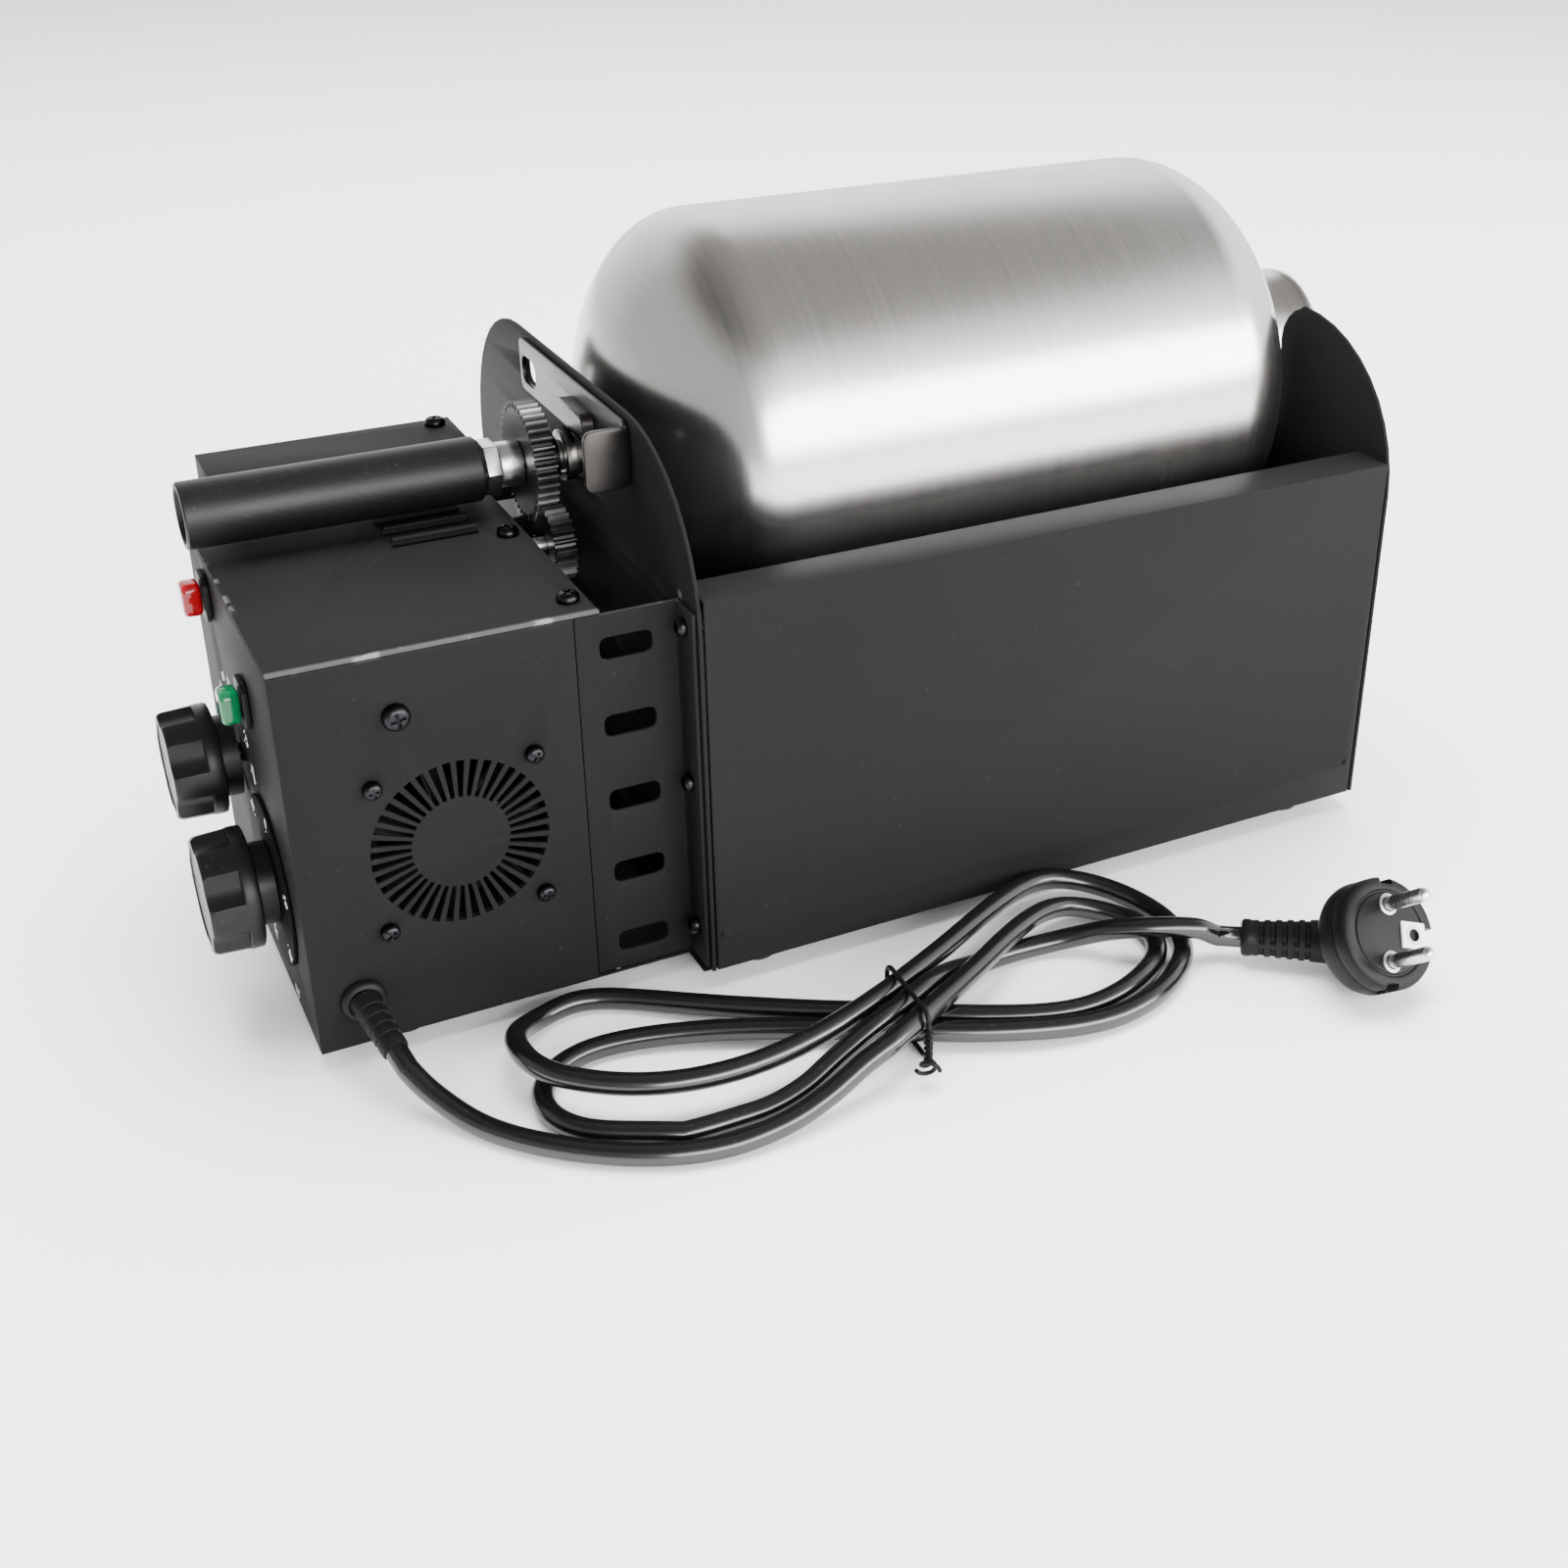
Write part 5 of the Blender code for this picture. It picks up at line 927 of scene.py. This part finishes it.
class ROASTER_OT_drum(bpy.types.Operator):
    """Spins the domed steel drum with its open, rolled neck and its stirring vanes"""
    bl_idname = "roaster.drum"
    bl_label = "Drum"

    def execute(self, context):
        wall, neck = sizes().drum_wall, sizes().neck_radius
        profile = self.section(0)
        rim = [(neck, MOUTH - 0.0038), (neck + 0.0007, MOUTH - 0.0030), (neck + 0.0012, MOUTH - 0.0018),
               (neck + 0.0009, MOUTH - 0.0006), (neck, MOUTH), (neck - 0.0009, MOUTH - 0.0004),
               (neck - wall, MOUTH - 0.0018)]
        profile = profile + rim + list(reversed(self.section(wall)))
        drum = lathe("drum_dressed", profile, sizes().drum_segments)
        complete(drum, 50, along_x(0), "drum", "drum", "drum_steel", ("drum_shell",))
        self.check_length(drum)
        vane = self.vane()
        centre = at(0, *AXIS)
        vanes = [vane] + [twin(vane, "vane", Matrix.Translation(centre) @ Matrix.Rotation(turn, 4, "X")
                               @ Matrix.Translation(-centre)) for turn in VANE_TURNS]
        vanes = joined("drum_vanes", vanes)
        smooth(vanes, 35)
        fit(vanes, "drum", "drum", "drum_steel")
        return {"FINISHED"}

    def check_length(self, drum):
        """Nothing of the drum may reach past its mouth, give or take a tenth of a millimetre."""
        furthest = max(v.co.x for v in drum.data.vertices)
        if furthest > at(MOUTH + 0.0001, 0, 0).x:
            raise RuntimeError("the drum reaches past its mouth")

    def section(self, inset):
        """Half of the drum's outline from its closed end to the start of its neck."""
        radius, neck = sizes().drum_radius - inset, sizes().neck_radius - inset
        left, right = LEFT_DOME - inset, RIGHT_DOME - inset
        steps = 28
        points = [(0.0006, WALL_START - left)]
        for i in range(1, steps + 1):
            angle = math.pi / 2 * i / steps
            points.append((radius * math.sin(angle), WALL_START - left * math.cos(angle)))
        for share in (0.25, 0.5, 0.75):
            points.append((radius, WALL_START + (WALL_END - WALL_START) * share))
        fillet = 0.0050
        turn = math.acos((neck + fillet) / radius)
        for i in range(steps + 1):
            angle = turn * i / steps
            points.append((radius * math.cos(angle), WALL_END + right * math.sin(angle)))
        start, end = points[-1], (neck, points[-1][1] + fillet * 0.9)
        bend = (neck + 0.0004, start[1] + 0.0012)
        for i in range(1, 7):
            t = i / 6
            points.append(tuple((1 - t) ** 2 * p + 2 * t * (1 - t) * q + t * t * r
                                for p, q, r in zip(start, bend, end)))
        return points

    def vane(self):
        """A flat vane that stands in from the wall, with a foot along it."""
        low = at(WALL_START, *AXIS)
        long = WALL_END - WALL_START
        plate = block("vane", low + Vector((0, 0.0596, -0.0015)), low + Vector((long, 0.0764, 0)))
        foot = block("foot", low + Vector((0, 0.0752, -0.0006)), low + Vector((long, 0.0763, 0.0078)))
        carve(plate, [foot], "UNION")
        bevel(plate, 0.0003, 2, 40)
        return plate


class ROASTER_OT_handle(bpy.types.Operator):
    """Turns the black tube that the drum is lifted out by"""
    bl_idname = "roaster.handle"
    bl_label = "Lifting handle"

    def execute(self, context):
        r, long = sizes().handle_radius, sizes().handle_length
        bore, end_bore, end_start = 0.0090, 0.0053, 0.0840
        profile = [(bore + 0.0002, 0.0), (r - 0.0006, 0.0), (r, 0.0006), (r, long - 0.0016), (r - 0.0016, long),
                   (end_bore, long), (end_bore, end_start), (bore, end_start), (bore, 0.0003)]
        handle = lathe("drum_handle_dressed", profile, 96, ring=True)
        complete(handle, 38, along_x(-0.0044), "handle", "drum", "handle_black", ("drum_handle",))
        return {"FINISHED"}


class ROASTER_OT_knobs(bpy.types.Operator):
    """Models the two scalloped knobs on the control face"""
    bl_idname = "roaster.knobs"
    bl_label = "Knobs"

    def execute(self, context):
        for name, body, y, z, radius in KNOBS:
            complete(self.knob(name + "_dressed", radius), 36, outward(KNOB_BASE, y, z),
                     "knob", body, "knob_black", (name,))
        return {"FINISHED"}

    def knob(self, name, radius):
        """A skirted knob whose six finger scallops start at its face and stop short of the skirt."""
        depth = sizes().knob_depth
        profile = [(radius * 0.94, 0.0), (radius * 0.985, 0.0003), (radius, 0.0010), (radius, 0.0042),
                   (radius * 0.985, 0.0052), (radius * 0.965, depth - 0.0016), (radius * 0.945, depth - 0.0005),
                   (radius * 0.915, depth), (radius * 0.80, depth), (radius * 0.785, depth - 0.0005),
                   (0.0004, depth - 0.0005)]
        knob = lathe(name, profile, 96)
        for i in range(FLUTES):
            middle = heading(2 * math.pi * i / FLUTES) * (radius + FLUTE_RADIUS - FLUTE_DEPTH)
            carve(knob, [cylinder("flute", middle + Vector((0, 0, FLUTE_START)),
                                  middle + Vector((0, 0, depth + 0.0020)), FLUTE_RADIUS, 40,
                                  FLUTE_RADIUS + 0.0006)])
        carve(knob, [block("pointer", (-0.0005, radius * 0.30, depth - 0.0009),
                           (0.0005, radius * 0.74, depth + 0.001))])
        bevel(knob, 0.0004, 2, 35)
        # The collar is made wide: partly the knob's own collar, partly a dark piece standing in for the shade in the
        # gap between knob and dial.
        collar = cylinder("collar", (0, 0, -0.0056), (0, 0, 0.0010), 0.0135, 64)
        stem = cylinder("stem", (0, 0, -0.0083), (0, 0, -0.0050), 0.0030, 32)
        return joined(name, [knob, collar, stem])


class ROASTER_OT_dials(bpy.types.Operator):
    """Prints plain white numbers and dots round the two knobs and sets the face's eyelet"""
    bl_idname = "roaster.dials"
    bl_label = "Dial numbers"

    def execute(self, context):
        for dial in DIALS:
            self.ring(*dial)
        eyelet = lathe("face_eyelet", [(0.0026, 0.0), (0.0026, 0.0003), (0.0019, 0.0003), (0.0019, 0.0)], 40,
                       ring=True)
        settle(eyelet, outward(-0.00005, 0.0304, 0.0050))
        fit(eyelet, "tin", slot="bright_steel")
        return {"FINISHED"}

    def ring(self, name, centre, marks, reach, dots, size):
        """Numbers whose tops point outwards, clockwise from the top as the user sees them."""
        facing = Matrix(((0, 0, -1), (-1, 0, 0), (0, 1, 0))).to_4x4()
        pieces = []
        for text, degrees in marks:
            deselect()
            bpy.ops.object.text_add()
            label = bpy.context.object
            label.data.body = text
            label.data.size = size
            label.data.align_x = label.data.align_y = "CENTER"
            label.data.extrude = 0.00002
            label.data.offset = 0.00006
            activate(label)
            bpy.ops.object.convert(target="MESH")
            turn = Matrix.Rotation(-math.radians(degrees), 4, "Z")
            place = Matrix.Translation(at(*centre)) @ facing @ turn
            pieces.append(settle(label, place @ Matrix.Translation((0, reach, 0))))
            dot = cylinder("dot", (0, dots, -0.00002), (0, dots, 0.00002), 0.00042, 16)
            pieces.append(settle(dot, place))
        numbers = joined(name, pieces)
        fit(numbers, "print", slot="insert_white")


class ROASTER_OT_sheet_metal(bpy.types.Operator):
    """Rounds the edges of the folded sheet and gives it its black coat, worn in places and with a painted highlight
    along the front top edge
    """
    bl_idname = "roaster.sheet_metal"
    bl_label = "Sheet metal"

    def execute(self, context):
        for node in ("control_box_shell", "top_cover", "rear_housing", "front_bracket", "rear_bracket",
                     "left_end_plate", "right_end_plate"):
            dress(node, "powder")
        for node in ("front_panel", "rear_panel"):
            dress(node, "panel", 0.0005, 3)
        dress("heat_reflector", "zinc", 0.0002)
        dress("shaft_latch", "latch", 0.0003)
        dress("neck_support", "steel", 0.0003)
        return {"FINISHED"}


class ROASTER_OT_drive(bpy.types.Operator):
    """Finishes the gears, the shafts, the rollers and the small turned pieces"""
    bl_idname = "roaster.drive"
    bl_label = "Drive"

    def execute(self, context):
        for node in ("drum_gear", "motor_gear"):
            dress(node, "gear", 0.00016, 1)
        for node in ("drive_collar", "drum_shaft", "drum_hub", "shaft_nut", "motor_shaft", "roller_pin_front",
                     "roller_pin_rear"):
            dress(node, "steel", 0.00035)
        for node in ("neck_roller_front", "neck_roller_rear"):
            dress(node, "brass", 0.0003)
        dress("shaft_bush", "dark_steel", 0.0003)
        return {"FINISHED"}


class ROASTER_OT_fittings(bpy.types.Operator):
    """Finishes the lamps, the dial, the feet, the fan and the parts inside"""
    bl_idname = "roaster.fittings"
    bl_label = "Fittings"

    def execute(self, context):
        dress("heat_lamp_lens", "red", 0.0016, 5)
        dress("power_lamp_lens", "green", 0.0016, 5)
        dress("timer_dial", "dial", 0.0002)
        for node in ("heat_lamp", "power_lamp", "fan_frame", "fan_rotor"):
            dress(node, "plastic", 0.0002)
        for node in ("foot_front_left", "foot_front_right", "foot_rear_left", "foot_rear_right", "foot_box_front",
                     "foot_box_rear"):
            dress(node, "rubber", 0.0005, 3)
        for node, material in (("heater_front", "ceramic"), ("heater_rear", "ceramic"), ("base_pan", "powder"),
                               ("drive_wall", "zinc"), ("gear_motor", "tin"), ("terminal_block", "white"),
                               ("timer_body", "plastic"), ("thermostat_body", "plastic"),
                               ("thermostat_bulb", "brass")):
            refinish(node, material)
        return {"FINISHED"}


class ROASTER_OT_screws(bpy.types.Operator):
    """Sets the cross-recessed pan-head screws"""
    bl_idname = "roaster.screws"
    bl_label = "Screws"

    def execute(self, context):
        small = self.head(0.0030, 0.0030)
        middle = self.head(0.0037, 0.0030)
        large = self.head(0.0043, 0.0037)
        left, right, front, top = (-1, 0, 0), (1, 0, 0), (0, -1, 0), (0, 0, 1)
        black = [(small, (0.0505 + a * 0.0250, -0.0003, 0.0634 + b * 0.0250), front, 20 * a + 33 * b)
                 for a in (-1, 1) for b in (-1, 1)]
        black += [(large, (0.0350, 0, 0.1106), front, 12), (middle, (0.0935, 0.0112, BOX_TOP), top, 40),
                  (middle, (0.0935, 0.0709, BOX_TOP), top, 8), (middle, (0.0935, 0.1530, 0.1440), top, 65)]
        black += [(small, (0.1240, y, z), left, z * 700) for y in (-0.00665, 0.13365)
                  for z in (0.0152, 0.0690, 0.1235)]
        bright = [(small, (0.3950, 0.0970 + side * 0.0240, 0.0800), right, 30 * side) for side in (-1, 1)]
        bright.append((middle, (0.1236, 0.0500, 0.1645), left, 25))
        for name, seats, material, slot in (("black_screws", black, "screw", "black_sheet"),
                                            ("bright_screws", bright, "steel", "bright_steel")):
            copies = []
            for head, seat, way, angle in seats:
                turn = turn_to(way) @ Matrix.Rotation(math.radians(angle), 4, "Z")
                copies.append(twin(head, "screw", Matrix.Translation(at(*seat)) @ turn))
            fit(joined(name, copies), material, slot=slot)
        for head in (small, middle, large):
            bpy.data.objects.remove(head, do_unlink=True)
        dress("latch_screw", "steel", 0.0002, 1)
        return {"FINISHED"}

    def head(self, radius, height):
        profile = [(radius * 0.97, -0.00005), (radius, 0.0002), (radius, height * 0.38), (radius * 0.93, height * 0.66),
                   (radius * 0.76, height * 0.88), (radius * 0.52, height * 0.98), (0.0003, height)]
        head = lathe("screw_head", profile, 32)
        arm, slim = radius * 0.56, radius * 0.13
        carve(head, [block("cross", (-arm, -slim, height * 0.74), (arm, slim, height * 1.3)),
                     block("cross", (-slim, -arm, height * 0.74), (slim, arm, height * 1.3))])
        smooth(head, 40)
        return head


class ROASTER_OT_stage(bpy.types.Operator):
    """Lays the pale floor and hangs the soft studio lights"""
    bl_idname = "roaster.stage"
    bl_label = "Floor and lights"

    def execute(self, context):
        deselect()
        bpy.ops.mesh.primitive_plane_add(size=14, location=(0, 0, 0))
        floor = context.object
        floor.name = "floor"
        pale = tuple(colours().floor)
        paint = Paint("pale_floor", pale, 0.65)
        paint.feed("Base Color", paint.tones(paint.noise(1.2, detail=2.0), pale, 0.9833, 1.0167))
        floor.data.materials.append(paint.material)
        for light in LIGHTS:
            self.light(*light)
        context.scene.world = self.studio()
        return {"FINISHED"}

    def studio(self):
        """Surroundings that are white up to half height, grey above, and dimmer towards the left."""
        world = bpy.data.worlds.new("studio")
        world.use_nodes = True
        tree = world.node_tree
        back = tree.nodes["Background"]
        place, split, ramp, height, dim = (tree.nodes.new("ShaderNode" + kind) for kind in (
            "NewGeometry", "SeparateXYZ", "ValToRGB", "Math", "MapRange"))
        height.operation = "MULTIPLY"
        height.inputs[1].default_value = -1.0
        for key, value in (("From Min", -0.15), ("From Max", 0.60), ("To Min", 2.5), ("To Max", 0.75)):
            dim.inputs[key].default_value = value
        for output, socket in ((place.outputs["Incoming"], split.inputs[0]),
                               (split.outputs["Z"], height.inputs[0]), (height.outputs[0], ramp.inputs["Fac"]),
                               (split.outputs["X"], dim.inputs["Value"]),
                               (dim.outputs["Result"], back.inputs["Strength"]),
                               (ramp.outputs["Color"], back.inputs["Color"])):
            tree.links.new(output, socket)
        for stop, position, colour in zip(ramp.color_ramp.elements, (0.56, 0.80),
                                          ((1.0, 1.0, 1.0, 1), (0.17, 0.168, 0.165, 1))):
            stop.position, stop.color = position, colour
        return world

    def light(self, name, place, target, size, power, mirrored):
        data = bpy.data.lights.new(name, "AREA")
        data.shape = "RECTANGLE"
        data.size, data.size_y = size
        data.energy = power
        lamp = added(name, data)
        lamp.location = place
        lamp.rotation_euler = (Vector(target) - Vector(place)).to_track_quat("-Z", "Y").to_euler()
        lamp.visible_glossy = mirrored


STEPS = ("camera", "plug", "lead", "drum", "handle", "knobs", "dials", "sheet_metal", "drive", "fittings", "screws",
         "stage")


class ROASTER_PT_panel(bpy.types.Panel):
    """Lists the roaster's pieces"""
    bl_idname = "ROASTER_PT_panel"
    bl_label = "Coffee roaster"
    bl_space_type = "VIEW_3D"
    bl_region_type = "UI"
    bl_category = "Roaster"

    def draw(self, context):
        column = self.layout.column()
        for group in (context.scene.roaster_sizes, context.scene.roaster_colours):
            for name in group.bl_rna.properties.keys():
                if name not in ("rna_type", "name"):
                    column.prop(group, name)
        for step in STEPS:
            column.operator("roaster." + step)


CLASSES = (RoasterSizes, RoasterColours, ROASTER_OT_camera, ROASTER_OT_plug, ROASTER_OT_lead, ROASTER_OT_drum,
           ROASTER_OT_handle, ROASTER_OT_knobs, ROASTER_OT_dials, ROASTER_OT_sheet_metal, ROASTER_OT_drive,
           ROASTER_OT_fittings, ROASTER_OT_screws, ROASTER_OT_stage, ROASTER_PT_panel)


def register():
    for made in CLASSES:
        bpy.utils.register_class(made)
    bpy.types.Scene.roaster_sizes = bpy.props.PointerProperty(type=RoasterSizes)
    bpy.types.Scene.roaster_colours = bpy.props.PointerProperty(type=RoasterColours)


def unregister():
    del bpy.types.Scene.roaster_colours
    del bpy.types.Scene.roaster_sizes
    for made in reversed(CLASSES):
        bpy.utils.unregister_class(made)


def main():
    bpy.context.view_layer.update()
    register()
    for step in STEPS:
        getattr(bpy.ops.roaster, step)()


if __name__ == "__main__":
    main()
